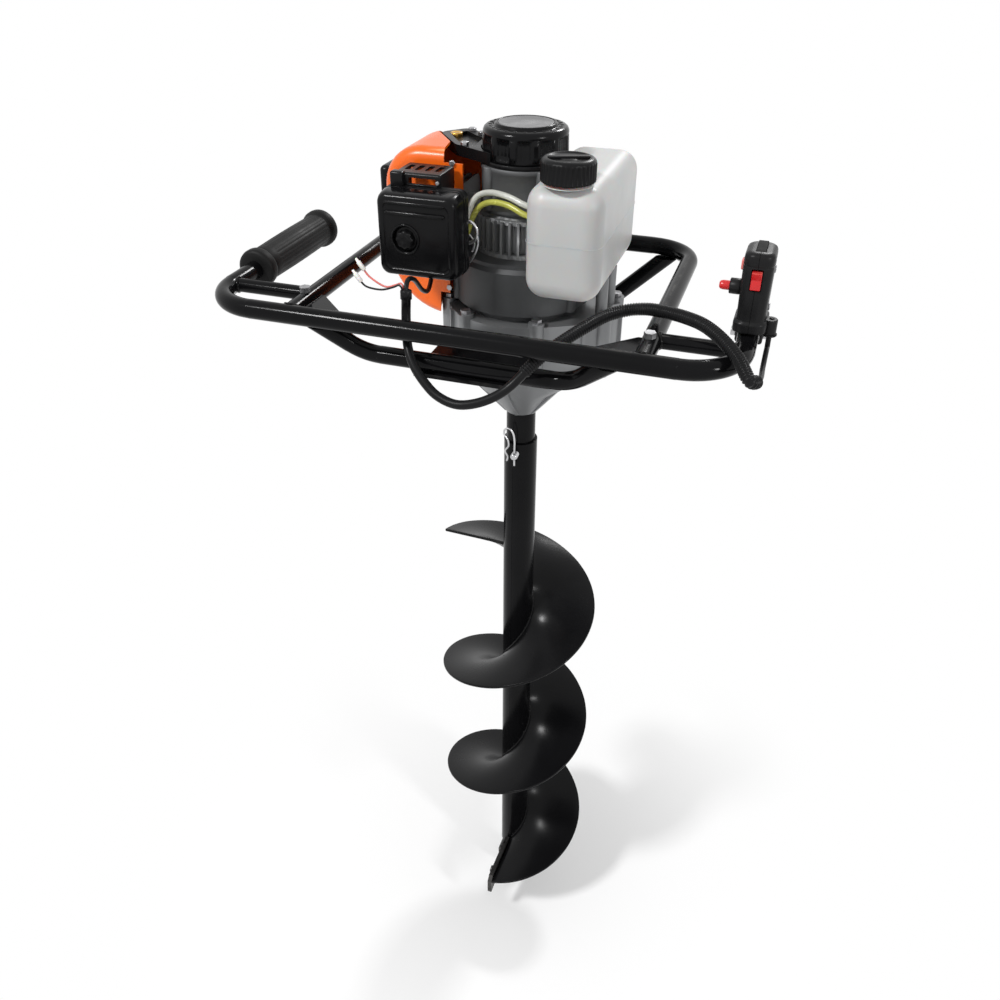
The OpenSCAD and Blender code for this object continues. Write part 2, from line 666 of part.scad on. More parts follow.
// Outline of the orange cover seen from the front, drawn x against height over the cylinder axis
module shroud_outline(inset) {
    left = -cyl_x - shroud_len + inset;
    right = -cyl_x - 2 + (inset > 0 ? over : 0);
    top = shroud_up - inset;
    low = top + inset - shroud_h + inset;
    intersection() {
        hull() {
            translate([left + 40, top - 40]) circle(r = 40, $fn = 48);
            translate([left + 68, low + 68]) circle(r = 68, $fn = 64);
            translate([right - 4, top - 4]) circle(r = 4, $fn = 16);
            translate([right - 4, low + 4]) circle(r = 4, $fn = 16);
        }
        translate([left - over, low - over]) square([right - left + over, top - low + 2 * over]);
    }
}
shroud_up = 78;

module shroud_solid(inset, side) {
    translate([0, 0, z_cyl]) rotate([90, 0, 0]) {
        linear_extrude(shroud_w - 2 * inset - 12, center = true) shroud_outline(inset);
        linear_extrude(shroud_w - 2 * inset - side, center = true) shroud_outline(inset + 6);
    }
}

module cylinder_cover() color("#e0561c") difference() {
    shroud_solid(0, 0);
    shroud_solid(shell_t, 0);
    translate([-cyl_x - 20, -shroud_w / 2 + shell_t, z_cyl - 200])
        cube([40, shroud_w - 2 * shell_t, 200 + shroud_up - shell_t]);
    translate([0, 0, z_cover]) cylinder(h = z_fan - z_cover + 3, r = fan_r + 8);
    translate([0, 0, z_cover]) cylinder(h = z_case - z_cover + 14, r = box_r + lug_r + 1);
    for (s = [-1, 1]) translate([-port_x, 0, z_cyl]) rotate([-s * 90, 0, 0]) cylinder(h = shroud_w, r = 14);
    along_x(-cyl_x - 60) cylinder(h = 60, r = 16);
    translate([0, 0, z_crank]) linear_extrude(60) offset_wing(gap);
    translate([0, 0, z_fan]) cylinder(h = 200, r = starter_r + 4);
}

module spark_plug() color("#d8d4c8") along_x(-cyl_x) {
    translate([0, 0, cyl_len - 12]) cylinder(h = 17, r = plug_r);
    translate([0, 0, cyl_len + 4 + 2 * weld]) cylinder(h = 8, r = 10, $fn = 6);
    translate([0, 0, cyl_len + 11]) cylinder(h = 12, r = plug_r - 0.5);
}

// Rubber boot with a flat outer shield
module plug_cap() color("#161616") difference() {
    union() {
        along_x(-cyl_x - cyl_len - 13) cylinder(h = shroud_len - cyl_len - 12, r = 10);
        translate([-cyl_x - shroud_len - 14, -22, z_cyl - 12]) rotate([90, 0, 90])
            linear_extrude(13) translate([22, 31]) round_rect(44, 62, 8);
    }
    along_x(-cyl_x - cyl_len) cylinder(h = 24, r = plug_r - 0.5 + weld);
}

// Intake side

carb_x = -port_x - 18;
carb_w = 36;
carb_y = -port_y - 35;
carb_z = z_cyl - 18;

module carburettor() color("#a9a59a") difference() {
    union() {
        translate([carb_x + 3, carb_y, carb_z]) cube([carb_w - 6, 35, carb_w]);
        translate([carb_x, -port_y - 5 - weld, carb_z - 2]) cube([carb_w, 5, carb_w + 4]);
        translate([carb_x, carb_y + weld, carb_z - 2]) cube([carb_w, 5, carb_w + 4]);
        translate([carb_x + carb_w - 4, carb_y + 12, z_cyl + 8]) rotate([0, 90, 0]) cylinder(h = 10,
            r = 2.4);
        translate([carb_x + carb_w - 4, carb_y + 20, z_cyl]) rotate([0, 90, 0]) cylinder(h = 10, r = 2.4);
        translate([carb_x + carb_w / 2 + 6, carb_y + 18, carb_z - 3]) cylinder(h = 4, r = 11);
    }
    translate([-port_x, carb_y - over, z_cyl]) rotate([-90, 0, 0]) cylinder(h = 40, r = 9);
    translate([choke_at.x, choke_at.y, carb_z - over]) cylinder(h = 60, r = 2.5 + run_fit);
    translate([carb_x + carb_w / 2 + 6, carb_y + 18, carb_z - 4]) cylinder(h = 7, r = 9 + gap);
}

choke_at = [-port_x - 11, carb_y + 12];

module choke_lever() color("#2b2b2b") translate([choke_at.x, choke_at.y, 0]) {
    translate([0, 0, carb_z + 4]) cylinder(h = carb_w + 6, r = 2.5);
    translate([0, 0, carb_z + carb_w + 2.5]) cylinder(h = 4, r = 5);
    translate([-24, -3, carb_z + carb_w + 3]) cube([24, 6, 3]);
    translate([-24, 0, carb_z + carb_w + 3]) cylinder(h = 3, r = 5);
}

module primer_bulb() color("#7a2a20") translate([carb_x + carb_w / 2 + 6, carb_y + 18, carb_z - 12]) {
    translate([0, 0, 5]) cylinder(h = 6, r = 9);
    translate([0, 0, 2]) cylinder(h = 3.01, r1 = 7.5, r2 = 9);
    cylinder(h = 2.01, r1 = 4, r2 = 7.5);
}

air_x = -112;
air_z = z_cyl - 28;
base_y = carb_y - 8;

// Back plate of the air box with its vented hood over the carburettor
module filter_base() color("#1c1c1c") difference() {
    union() {
        translate([air_x + air_w / 2, carb_y - weld, air_z + air_h / 2]) rotate([90, 0, 0])
            linear_extrude(8 - weld) round_rect(air_w, air_h, 8);
        translate([air_x + 2, carb_y - 6, air_z + air_h - 6]) cube([60, 38, 26]);
    }
    translate([air_x + 4.5, carb_y, air_z + air_h - 10]) cube([55, 29.5, 27.5]);
    for (i = [0 : 3]) translate([air_x + 10 + i * 12, carb_y + 4, air_z + air_h]) cube([7, 24, 40]);
    translate([-port_x, carb_y + over, z_cyl]) rotate([90, 0, 0]) cylinder(h = 20, r = 9);
    translate([knob_at.x, carb_y + over, knob_at.y]) rotate([90, 0, 0]) cylinder(h = 20, r = 3 + gap);
    translate([-air_hole, carb_y + over, z_cyl - 20]) rotate([90, 0, 0]) cylinder(h = 20, r = 3);
}
air_hole = 100;
knob_at = [-83, z_cyl + 9];

module filter_cover() color("#191919") difference() {
    union() {
        translate([air_x + air_w / 2, base_y - gap, air_z + air_h / 2]) rotate([90, 0, 0]) {
            linear_extrude(air_d - 4) round_rect(air_w, air_h, 8);
            translate([0, 0, air_d - 4 - weld]) linear_extrude(4) round_rect(air_w - 6, air_h - 6, 6);
        }
        for (i = [0, 1]) translate([air_x + 8, base_y - air_d - 1.2, air_z + air_h - 12 - i * 7])
            cube([air_w - 16, 4, 3]);
    }
    translate([air_x + air_w / 2, base_y, air_z + air_h / 2]) rotate([90, 0, 0])
        linear_extrude(air_d - 6) round_rect(air_w - 5, air_h - 5, 6);
    translate([knob_at.x, base_y, knob_at.y]) rotate([90, 0, 0]) cylinder(h = air_d + 20, r = 3 + gap);
    translate([knob_at.x, base_y - air_d - gap + 3.5, knob_at.y]) rotate([90, 0, 0]) cylinder(h = 10,
        r = 14);
}

module filter_element() color("#5a5a52") difference() {
    translate([air_x + air_w / 2, base_y - weld, air_z + air_h / 2]) rotate([90, 0, 0])
        linear_extrude(air_d - 8) round_rect(air_w - 8, air_h - 8, 6);
    translate([knob_at.x, base_y + over, knob_at.y]) rotate([90, 0, 0]) cylinder(h = air_d + 4, r = 5);
}

module filter_knob() color("#2a2a2a") translate([knob_at.x, base_y - air_d - gap + 3.2, knob_at.y])
    rotate([90, 0, 0]) {
        cylinder(h = 3, r = 12);
        for (i = [0 : 11]) rotate([0, 0, i * 30]) translate([9.5, 0, 0]) cylinder(h = 8, r = 2.2);
        cylinder(h = 8, r = 9.5);
        translate([0, 0, -air_d - 5]) cylinder(h = air_d + 6, r = 3);
    }

// Exhaust side

muff_w = 80;
muff_h = 56;
muff_x = -port_x - 50;
muff_z = z_fan + 4;

module muffler() color("#6f6862") difference() {
    union() {
        translate([muff_x + muff_w / 2, port_y + muff_d, muff_z + muff_h / 2]) rotate([90, 0, 0]) {
            linear_extrude(muff_d - 4) round_rect(muff_w, muff_h, 9);
            translate([0, 0, muff_d / 2]) linear_extrude(3) round_rect(muff_w + 4, muff_h + 4, 10);
        }
        translate([-port_x - 20, port_y + weld, z_cyl - 16]) cube([40, 5, 32]);
        translate([muff_x - 8, port_y + muff_d - 14, muff_z + 14]) rotate([0, 90, 0]) cylinder(h = 12,
            r = 6);
    }
    translate([muff_x + muff_w / 2, port_y + muff_d - 2, muff_z + muff_h / 2]) rotate([90, 0, 0])
        linear_extrude(muff_d - 8) round_rect(muff_w - 4, muff_h - 4, 8);
    translate([-port_x, port_y - over, z_cyl]) rotate([-90, 0, 0]) cylinder(h = 16, r = 9);
    translate([muff_x - 10, port_y + muff_d - 14, muff_z + 14]) rotate([0, 90, 0]) cylinder(h = 20,
        r = 4.5);
}

module muffler_guard() color("#1f1f1f") difference() {
    union() {
        translate([muff_x + 2, port_y + muff_d + 4, muff_z + 4]) cube([muff_w - 4, 2, muff_h - 8]);
        for (x = [muff_x + 8, muff_x + muff_w - 14], z = [muff_z + 8, muff_z + muff_h - 14])
            translate([x, port_y + muff_d + weld, z]) cube([6, 5, 6]);
    }
    for (i = [0 : 8]) translate([muff_x + 16 + i * 6, port_y + muff_d, muff_z + 16]) cube([3, 20,
        muff_h - 32]);
}

// Fuel tank

tank_x = 28.5;
tank_y = -103;
tank_z = z_case + 40.5;
tank_wall = 3;
neck_at = [tank_x + tank_w / 2, tank_y + 20];
neck_r = 16;
z_tank_top = tank_z + tank_h;

module fuel_tank() color("#e4e2da") difference() {
    union() {
        difference() {
            soft_block([tank_x, tank_y, tank_z], [tank_x + tank_w, tank_y + tank_l, z_tank_top], tank_r, 5);
            saddle(0);
        }
        translate([neck_at.x, neck_at.y, z_tank_top - 4]) cylinder(h = 14, r = neck_r);
    }
    difference() {
        soft_block([tank_x + tank_wall, tank_y + tank_wall, tank_z + tank_wall],
            [tank_x + tank_w - tank_wall, tank_y + tank_l - tank_wall, z_tank_top - tank_wall],
                tank_r - tank_wall, 4);
        saddle(tank_wall);
    }
    translate([neck_at.x, neck_at.y, z_tank_top - 10]) cylinder(h = 40, r = neck_r - 3);
}

// Hollow in the tank's side that clears the crankcase and the fan housing
module saddle(wall) {
    translate([0, 0, z_fan - over]) cylinder(h = 200, r = chamber_r + rib_reach + 3 + wall);
    translate([0, 0, z_fan - 60]) cylinder(h = 63 + wall, r = fan_r + 7 + wall);
}

module cap_seal() color("#101010") translate([neck_at.x, neck_at.y, z_tank_top + 10 + weld])
    ring(neck_r, neck_r - 4, 2);

module fuel_cap() color("#1a1a1a") translate([neck_at.x, neck_at.y, z_tank_top + 2]) difference() {
    union() {
        cylinder(h = cap_h - 3, r = cap_d / 2 - 1.5);
        translate([0, 0, cap_h - 3 - weld]) cylinder(h = 3, r1 = cap_d / 2 - 1.5, r2 = cap_d / 2 - 4);
        for (i = [0 : cap_ribs - 1]) rotate([0, 0, i * 360 / cap_ribs])
            translate([cap_d / 2 - 2, 0, 0]) cylinder(h = cap_h - 5, r = 1.6, $fn = 16);
    }
    translate([0, 0, -over]) cylinder(h = 11 + 2 * weld + run_fit, r = neck_r + gap);
}

hose_r = 2.9;
module fuel_hoses() color("#c9cf9a") difference() {
    union() {
        cord([[carb_x + carb_w + weld, carb_y + 12, z_cyl + 8], [carb_x + carb_w + 8, carb_y + 12,
            z_cyl + 8],
            [-28, -62, 1066], [-18, -62, 1078], [-4, -61, 1083], [16, -60, 1083], [22, -60, 1082],
            [tank_x - weld, -60, 1082]], hose_r, 8, 8);
        cord([[carb_x + carb_w + weld, carb_y + 20, z_cyl], [carb_x + carb_w + 8, carb_y + 20, z_cyl],
            [-26, -57, 1058], [-12, -58, 1070], [4, -59, 1074], [16, -60, 1074], [22, -60, 1073],
            [tank_x - weld, -60, 1073]], hose_r, 8, 8);
    }
    translate([carb_x + carb_w - 4, carb_y + 12, z_cyl + 8]) rotate([0, 90, 0]) cylinder(h = 10.1,
        r = 2.4 + weld);
    translate([carb_x + carb_w - 4, carb_y + 20, z_cyl]) rotate([0, 90, 0]) cylinder(h = 10.1,
        r = 2.4 + weld);
}

// Recoil starter

rope_x = -26;
rope_r = 1.8;
z_rope = z_plate + 6;
starter_rib = 1.5;
wing = [[-100, 32], [-68, -12], [-24, -37], [0, -20], [0, 20], [-30, 32], [-58, 41], [-78, 58]];

module offset_wing(grow) { offset(delta = grow) polygon(wing); }

module starter_bracket() color("#202020") difference() {
    union() {
        translate([0, 0, z_crank + weld]) cylinder(h = plate_t - 2 * weld, r = starter_r + 2);
        translate([0, 0, z_crank + 2]) linear_extrude(13) offset_wing(0);
    }
    translate([0, 0, z_crank - over]) cylinder(h = 60, r = 19);
    translate([0, 0, z_plate - weld]) cylinder(h = 60, r = starter_r + starter_rib + gap);
    translate([-84, 34, z_crank]) cylinder(h = 60, r = 3.5);
}

module starter_cover() color("#1d1d1d") difference() {
    union() {
        translate([0, 0, z_plate]) cylinder(h = starter_h - 7, r = starter_r);
        translate([0, 0, z_top - 7 - weld]) cylinder(h = 5, r1 = starter_r, r2 = starter_r - 4);
        translate([0, 0, z_top - 3]) cylinder(h = 3, r = 28.5);
        for (i = [0 : 11]) rotate([0, 0, 15 + i * 30]) translate([starter_r - 2, -2.5, z_plate])
            cube([2 + starter_rib, 5, starter_h - 12]);
    }
    difference() {
        translate([0, 0, z_plate - over]) cylinder(h = starter_h - 5, r = starter_r - shell_t);
        translate([0, 0, z_rope + 1]) cylinder(h = starter_h, r = 4);
    }
    translate([rope_x, 0, z_rope]) rotate([-90, 0, 0]) cylinder(h = 60, r = rope_r + 1);
}

module starter_pulley() color("#3a3a3a") difference() {
    union() {
        translate([0, 0, z_rope - 4]) cylinder(h = 2, r = -rope_x + 6);
        translate([0, 0, z_rope - 4]) cylinder(h = 10, r = -rope_x - rope_r - gap);
        translate([0, 0, z_rope + 2.5]) cylinder(h = 4, r = -rope_x + 6);
        translate([0, 0, z_rope + 2]) cylinder(h = 12, r = 9);
    }
    translate([0, 0, z_rope - 10]) cylinder(h = 14, r = 18);
    translate([0, 0, z_rope - 10]) cylinder(h = 60, r = 4 + run_fit);
}

grip_y = 47;
module starter_rope() color("#e8e4d8") translate([rope_x, 0, z_rope]) rotate([-90, 0, 0])
    cylinder(h = grip_y - weld, r = rope_r);

module starter_grip() color("#141414") translate([rope_x, grip_y, z_rope]) difference() {
    hull() for (x = [-20, 20]) translate([x, 8, 0]) sphere(r = 8, $fn = 32);
    translate([0, 0, 0]) rotate([-90, 0, 0]) cylinder(h = 6, r = rope_r + weld);
    translate([-40, -9, -20]) cube([80, 9, 40]);
}

// Carrying frame

riser_r = 25;
riser_y = -front_y + 75;
riser_top = z_frame + 40;
handle_end = -front_y + 91 + grip_len - 4;
bar_path = [[-left_x, handle_end], [-left_x, -front_y], [right_x, -front_y], [right_x, riser_y - riser_r]];
hoop_path = [[-cross_x, -front_y], [-cross_x, rear_y], [cross_x, rear_y], [cross_x, -front_y]];
bow_tilt = 20;
bow_flat = 52;
bracket_w = 92;
bracket_t = 4;
bow_len = sqrt(bow_drop * bow_drop + bow_tilt * bow_tilt);
front_path = [[-142, 0], [-98, -bow_len], [98, -bow_len], [142, 0]];
bow_r = rail_r - 0.6;
hoop_tube = rail_r - 0.2;
front_bow_y = -front_y + bow_tilt;
front_bow_z = z_frame - bow_drop;
// The rear bow passes just behind the gearbox and meets the middle line of the hoop's bends
rear_bow_y = box_r + gap + bow_r;
bow_in = hoop_r - sqrt(hoop_r * hoop_r - pow(rear_bow_y - rear_y + hoop_r, 2));
rear_path = [[-cross_x + bow_in, 0], [-bow_flat, -rear_drop], [bow_flat, -rear_drop],
    [cross_x - bow_in, 0]];
rear_bow_z = z_frame - rear_drop;

// Upright end of the handlebar that carries the throttle handle
module riser(r, extra) {
    translate([right_x, riser_y - riser_r, z_frame + riser_r]) rotate([90, 0, 90]) rotate([0, 0, -90])
        rotate_extrude(angle = 90) translate([riser_r, 0]) circle(r = r);
    translate([right_x, riser_y, z_frame + riser_r]) cylinder(h = riser_top - z_frame - riser_r + extra, r = r);
}

module bar_solid(r) { translate([0, 0, z_frame]) bent_bar(bar_path, bend_r, r); }
module hoop_solid(r) { translate([0, 0, z_frame]) bent_bar(hoop_path, hoop_r, r); }
module front_bow_solid(r) {
    translate([0, -front_y, z_frame]) rotate([180 - atan2(bow_drop, bow_tilt), 0, 0])
        bent_bar(front_path, 40, r);
}
module rear_bow_solid(r) { translate([0, rear_bow_y, z_frame]) rotate([90, 0, 0]) bent_bar(rear_path,
    60, r); }

module handlebar_tube() color("#161616") difference() {
    union() {
        bar_solid(rail_r);
        riser(rail_r, 0);
    }
    bar_solid(rail_r - rail_wall);
    riser(rail_r - rail_wall, over);
    translate([-left_x, handle_end - over, z_frame]) rotate([-90, 0, 0]) cylinder(h = 3,
        r = rail_r - rail_wall);
}

module rear_hoop() color("#161616") difference() {
    hoop_solid(hoop_tube);
    hoop_solid(hoop_tube - rail_wall);
    bar_solid(rail_r + weld);
    for (s = [-1, 1]) translate([s * cross_x, bolt_y, z_frame - 30]) cylinder(h = 60, r = 3 + weld);
}
bolt_y = -front_y + 34;

module side_braces() color("#161616") difference() {
    union() {
        straight([-left_x, brace_y], [-cross_x, brace_y], brace_r, z_frame);
        straight([cross_x, brace_y], [right_x, brace_y], brace_r, z_frame);
    }
    bar_solid(rail_r + weld);
    riser(rail_r + weld, 0);
    hoop_solid(hoop_tube + weld);
}
brace_y = -front_y + 50;

// Both bows are cut flat at the top and welded under the rail they hang from
module under_rail() {
    translate([-front_y * 2, -front_y * 2, z_frame - rail_r - weld]) cube([front_y * 4, front_y * 4, 40]);
}

module front_bow() color("#161616") difference() {
    front_bow_solid(bow_r);
    under_rail();
}

module rear_bow() color("#161616") difference() {
    rear_bow_solid(bow_r);
    under_rail();
}

module gusset_plates() color("#181818") difference() {
    for (s = [-1, 1]) scale([s, 1, 1]) translate([0, 0, z_frame - 2]) linear_extrude(4)
        polygon([[cross_x, -front_y], [cross_x - 48, -front_y + 6], [cross_x - 48, -front_y + 12],
            [cross_x - 12, -front_y + 48], [cross_x, -front_y + 48]]);
    bar_solid(rail_r + weld);
    hoop_solid(hoop_tube + weld);
    front_bow_solid(bow_r + weld);
}

// Powerhead mounts between the bows and the gearbox
pad_y = box_r + 2;
plate_y = box_r + 20;
mount_x = 25;
pad_drop = 21;
pad_w = 74;
pad_h = 26;
mount_z = z_case - pad_drop;

module mount_brackets() color("#181818") difference() {
    union() {
        translate([-bracket_w / 2, front_bow_y - 10, front_bow_z - bow_r - 3])
            cube([bracket_w, -plate_y - front_bow_y + 10, bracket_t]);
        translate([-bracket_w / 2, -plate_y - bracket_t, mount_z - 19])
            cube([bracket_w, bracket_t, front_bow_z - bow_r + 1 - mount_z + 19]);
        translate([-bracket_w / 2, rear_bow_y, rear_bow_z + bow_r - 1])
            cube([bracket_w, plate_y + bracket_t - rear_bow_y, bracket_t]);
        translate([-bracket_w / 2, plate_y, rear_bow_z + bow_r - 1])
            cube([bracket_w, bracket_t, z_case - 4 - rear_bow_z - bow_r]);
    }
    front_bow_solid(bow_r + weld);
    rear_bow_solid(bow_r + weld);
    for (s = [-1, 1], t = [-1, 1]) translate([s * mount_x, t * plate_y - 20, mount_z]) rotate([-90, 0, 0])
        cylinder(h = 40, r = 4 + weld);
}

module rubber_mounts() color("#0f0f0f")
    for (s = [-1, 1], t = [-1, 1]) translate([s * mount_x, t * (pad_y + plate_y) / 2, mount_z])
        rotate([90, 0, 0])
        difference() {
            union() {
                cylinder(h = plate_y - pad_y - 2 * weld, r = 10, center = true);
                for (k = [-1, 1]) translate([0, 0, k * (plate_y - pad_y) / 3.2]) cylinder(h = 5,
                    r = 12, center = true);
            }
            cylinder(h = 60, r = 4 + weld, center = true);
        }

module frame_bolts() color("#8e8e8e") {
    for (s = [-1, 1]) translate([s * cross_x, bolt_y, z_frame + rail_r]) screw(3, 2 * rail_r + 6, 5);
    for (s = [-1, 1], t = [-1, 1]) translate([s * mount_x, t * (plate_y + bracket_t + weld), mount_z])
        rotate([-t * 90, 0, 0]) screw(4, plate_y - pad_y + 12, 5);
}

module left_grip() color("#1b1b1b") translate([-left_x, handle_end + 4, z_frame]) rotate([90, 0, 0])
    difference() {
    union() {
        cylinder(h = grip_len, r = grip_d / 2);
        cylinder(h = 13, r = grip_d / 2 + 3);
        translate([0, 0, grip_len - 19]) cylinder(h = 19, r = grip_d / 2 + 2.5);
        for (i = [0 : 11]) translate([0, 0, 22 + i * (grip_len - 50) / 11]) cylinder(h = 3,
            r = grip_d / 2 + 0.8);
    }
    translate([0, 0, 4 - weld]) cylinder(h = grip_len, r = rail_r + weld);
}

// Throttle handle

hand_z = z_frame + 14;
hand_top = hand_z + hand_h;
hand_y = riser_y;
gland = [right_x + 17, hand_y - 3];
gland_z = hand_z - 4;

module hand_outline(inset) {
    translate([right_x, hand_y]) round_rect(hand_w - 2 * inset, hand_d - 2 * inset, 9 - inset);
}

module hand_solid() {
    translate([0, 0, hand_z]) linear_extrude(hand_h - 3) hand_outline(0);
    translate([0, 0, hand_top - 3 - weld]) linear_extrude(3) hand_outline(2);
    translate([0, 0, hand_z]) linear_extrude(9) translate([right_x, hand_y]) round_rect(hand_w + 3,
        hand_d + 3, 9);
    translate([right_x - 12, hand_y + 6, hand_z - 20]) cube([24, 14, 21]);
    translate([gland.x, gland.y, gland_z]) cylinder(h = 18, r = 8);
}

module hand_hollow() {
    translate([0, 0, hand_z + 12]) linear_extrude(hand_h - 16) hand_outline(2.5);
    riser(rail_r + weld, 1);
    bar_solid(rail_r + gap);
    translate([right_x - 40, hand_y + 13, hand_z - 12]) rotate([0, 90, 0]) cylinder(h = 80, r = 2.5 + weld);
    translate([right_x - 5 - gap, hand_y + 6, trigger_z - trigger_len - 5])
        cube([10 + 2 * gap, 30, trigger_len + 10]);
    translate([right_x - 5.5 - gap, hand_y - 40, switch_z - 10.5]) cube([11 + 2 * gap, 30, 21]);
    translate([right_x - 30, hand_y, button_z]) rotate([0, 90, 0]) cylinder(h = 24, r = 4 + gap);
    translate([right_x - 4 - gap, hand_y - 12 - gap, hand_top - 10]) cube([8 + 2 * gap, 26 + 2 * gap, 20]);
    translate([gland.x, gland.y, gland_z - over]) cylinder(h = 15, r = cable_r + weld);
}

// Moulded pins that the trigger, the stop rocker and the lock-out lever turn on
module pivot_pins()
    for (p = [[hand_y + hand_d / 2 - 6, trigger_z], [hand_y - hand_d / 2 + 7, switch_z], [hand_y - 9,
        hand_top - 6]])
        translate([right_x - hand_w / 2 + 1, p.x, p.y]) rotate([0, 90, 0]) cylinder(h = hand_w - 2,
            r = 1.5);

trigger_z = hand_top - 11;
switch_z = hand_z + 44;
button_z = hand_z + 33;

module handle_shell() color("#171717") intersection() {
    union() {
        difference() {
            hand_solid();
            hand_hollow();
        }
        pivot_pins();
    }
    translate([right_x - 60 - weld / 2, hand_y - 60, z_frame - 40]) cube([60, 120, 200]);
}

module handle_cover() color("#191919") intersection() {
    union() {
        difference() {
            hand_solid();
            hand_hollow();
        }
        pivot_pins();
    }
    translate([right_x + weld / 2, hand_y - 60, z_frame - 40]) cube([60, 120, 200]);
}

module clamp_bolt() color("#a0a0a0") translate([right_x + 12 + weld, hand_y + 13, hand_z - 12])
    rotate([0, 90, 0]) {
    screw(2.5, 28, 4);
    translate([0, 0, -28 - weld]) cylinder(h = 4 - weld, r = 4.5, $fn = 6);
}

// Trigger, pivoted near the top of the handle and hanging down its rear side
module throttle_trigger() color("#141414") difference() {
    translate([right_x - 5, 0, 0]) rotate([90, 0, 90]) linear_extrude(10) polygon([
        [hand_y + hand_d / 2 - 9, trigger_z + 3], [hand_y + hand_d / 2 - 2, trigger_z + 3],
        [hand_y + hand_d / 2 + 5, trigger_z - 8], [hand_y + hand_d / 2 + 8, trigger_z - trigger_len * 0.6],
        [hand_y + hand_d / 2 + 13, trigger_z - trigger_len], [hand_y + hand_d / 2 + 9,
            trigger_z - trigger_len - 1],
        [hand_y + hand_d / 2 + 3, trigger_z - trigger_len * 0.6], [hand_y + hand_d / 2 - 4,
            trigger_z - 6]]);
    translate([right_x - 20, hand_y + hand_d / 2 - 6, trigger_z]) rotate([0, 90, 0]) cylinder(h = 40,
        r = 1.5 + run_fit);
}

module lockout_lever() color("#141414") difference() {
    translate([right_x - 4, 0, 0]) rotate([90, 0, 90]) linear_extrude(8) polygon([
        [hand_y - 11.5, hand_top - 9], [hand_y - 6, hand_top - 9],
        [hand_y - 4, hand_top - 4], [hand_y + 12, hand_top - 1.5],
        [hand_y + 12, hand_top + 2], [hand_y - 6, hand_top + 0.4], [hand_y - 11.5, hand_top - 1]]);
    translate([right_x - 20, hand_y - 9, hand_top - 6]) rotate([0, 90, 0]) cylinder(h = 40,
        r = 1.5 + run_fit);
}

// Stop rocker on the front face
module stop_switch() color("#b3161b") difference() {
    translate([right_x - 5.5, 0, 0]) rotate([90, 0, 90]) linear_extrude(11) polygon([
        [hand_y - hand_d / 2 - 4, switch_z + 8], [hand_y - hand_d / 2 - 0.5, switch_z],
            [hand_y - hand_d / 2 - 1.5, switch_z - 8],
        [hand_y - hand_d / 2 + 5, switch_z - 7], [hand_y - hand_d / 2 + 10, switch_z],
            [hand_y - hand_d / 2 + 5, switch_z + 7]]);
    translate([right_x - 20, hand_y - hand_d / 2 + 7, switch_z]) rotate([0, 90, 0]) cylinder(h = 40,
        r = 1.5 + run_fit);
}

module lock_button() color("#b3161b") translate([right_x, hand_y, button_z]) rotate([0, -90, 0]) {
    translate([0, 0, hand_w / 2 - 6]) cylinder(h = 3, r = 6);
    cylinder(h = hand_w / 2 + 14, r = 4);
    translate([0, 0, hand_w / 2 + 13]) cylinder(h = 4, r1 = 4, r2 = 2.5);
}

// Cable loom, cable and stop leads

cable_r = 2.3;
loom_r = 6.2;
loom_root = 5.1;
loom_bore = 4.8;
rib_pitch = 3.25;
loom_path = [
    [gland.x, gland.y, gland_z - weld], [gland.x, gland.y, gland_z - 12], [257, -136, 1006], [257,
        -160, 1001],
    [257, -190, 1004], [250, -207, 1010], [238, -192, 1020], [222, -174, 1027], [205, -157, 1030],
    [188, -143, 1029], [170, -132, 1027], [152, -125, 1025], [134, -126, 1022], [118, -137, 1019],
    [104, -155, 1014], [90, -172, 1007], [76, -187, 998], [66, -200, 989], [54, -212, 976],
    [40, -216, 965], [22, -217, 956], [4, -216, 952], [-14, -213, 956], [-28, -208, 965],
    [-40, -202, 977], [-48, -194, 989], [-53, -184, 1001], [-55, -179, 1013], [-55, -177, 1026],
    [-55, -176, 1036]
];
cable_path = concat([[gland.x, gland.y, gland_z + 14]], loom_path, [
    [-56, -168, 1042], [-57, -152, 1036], [-62, -124, 1016], [-68, -96, 1004], [-74, -72, 1006],
    [carb_x + 7, carb_y + 18, carb_z - 8], [carb_x + 7, carb_y + 18, carb_z - weld]
]);

module cable_loom() color("#1c1c1c") {
    p = smooth(loom_path, 8);
    s = run_sums(p);
    total = s[len(s) - 1];
    ribs = floor(total / rib_pitch) - 1;
    step = total / (ribs + 1);
    outer = concat([[0, loom_root]],
        [for (i = [0 : ribs - 1]) each [[(i + 0.55) * step, loom_r], [(i + 1.05) * step, loom_root]]],
        [[total, loom_root]]);
    bore = rings_on(p, [for (i = [0 : 54]) [total * i / 54, loom_bore]], 8);
    hose(concat(rings_on(p, outer, 8), [for (i = [54 : -1 : 0]) bore[i]]));
}

module throttle_cable() color("#202020") cord(cable_path, cable_r, 8, 9);

module stop_leads() color("#d8d8d4") {
    for (s = [-1, 1]) {
        cord([[-58, -177 + 1.65 * s, 1026], [-58, -176 + 1.65 * s, 1036], [-60.5, -176 + 2.2 * s, 1040],
            [-68, -172 + 3 * s, 1036], [-80, -170 + 4 * s, 1032], [-94, -170 + 4 * s, 1036 + 3 * s],
            [-100, -170 + 4 * s, 1042 + 4 * s]], 0.9, 8, 4);
        translate([-99, -170 + 4 * s, 1041 + 4 * s]) rotate([0, -38, 0]) cylinder(h = 13, r = 2.2,
            $fn = 16);
    }
}

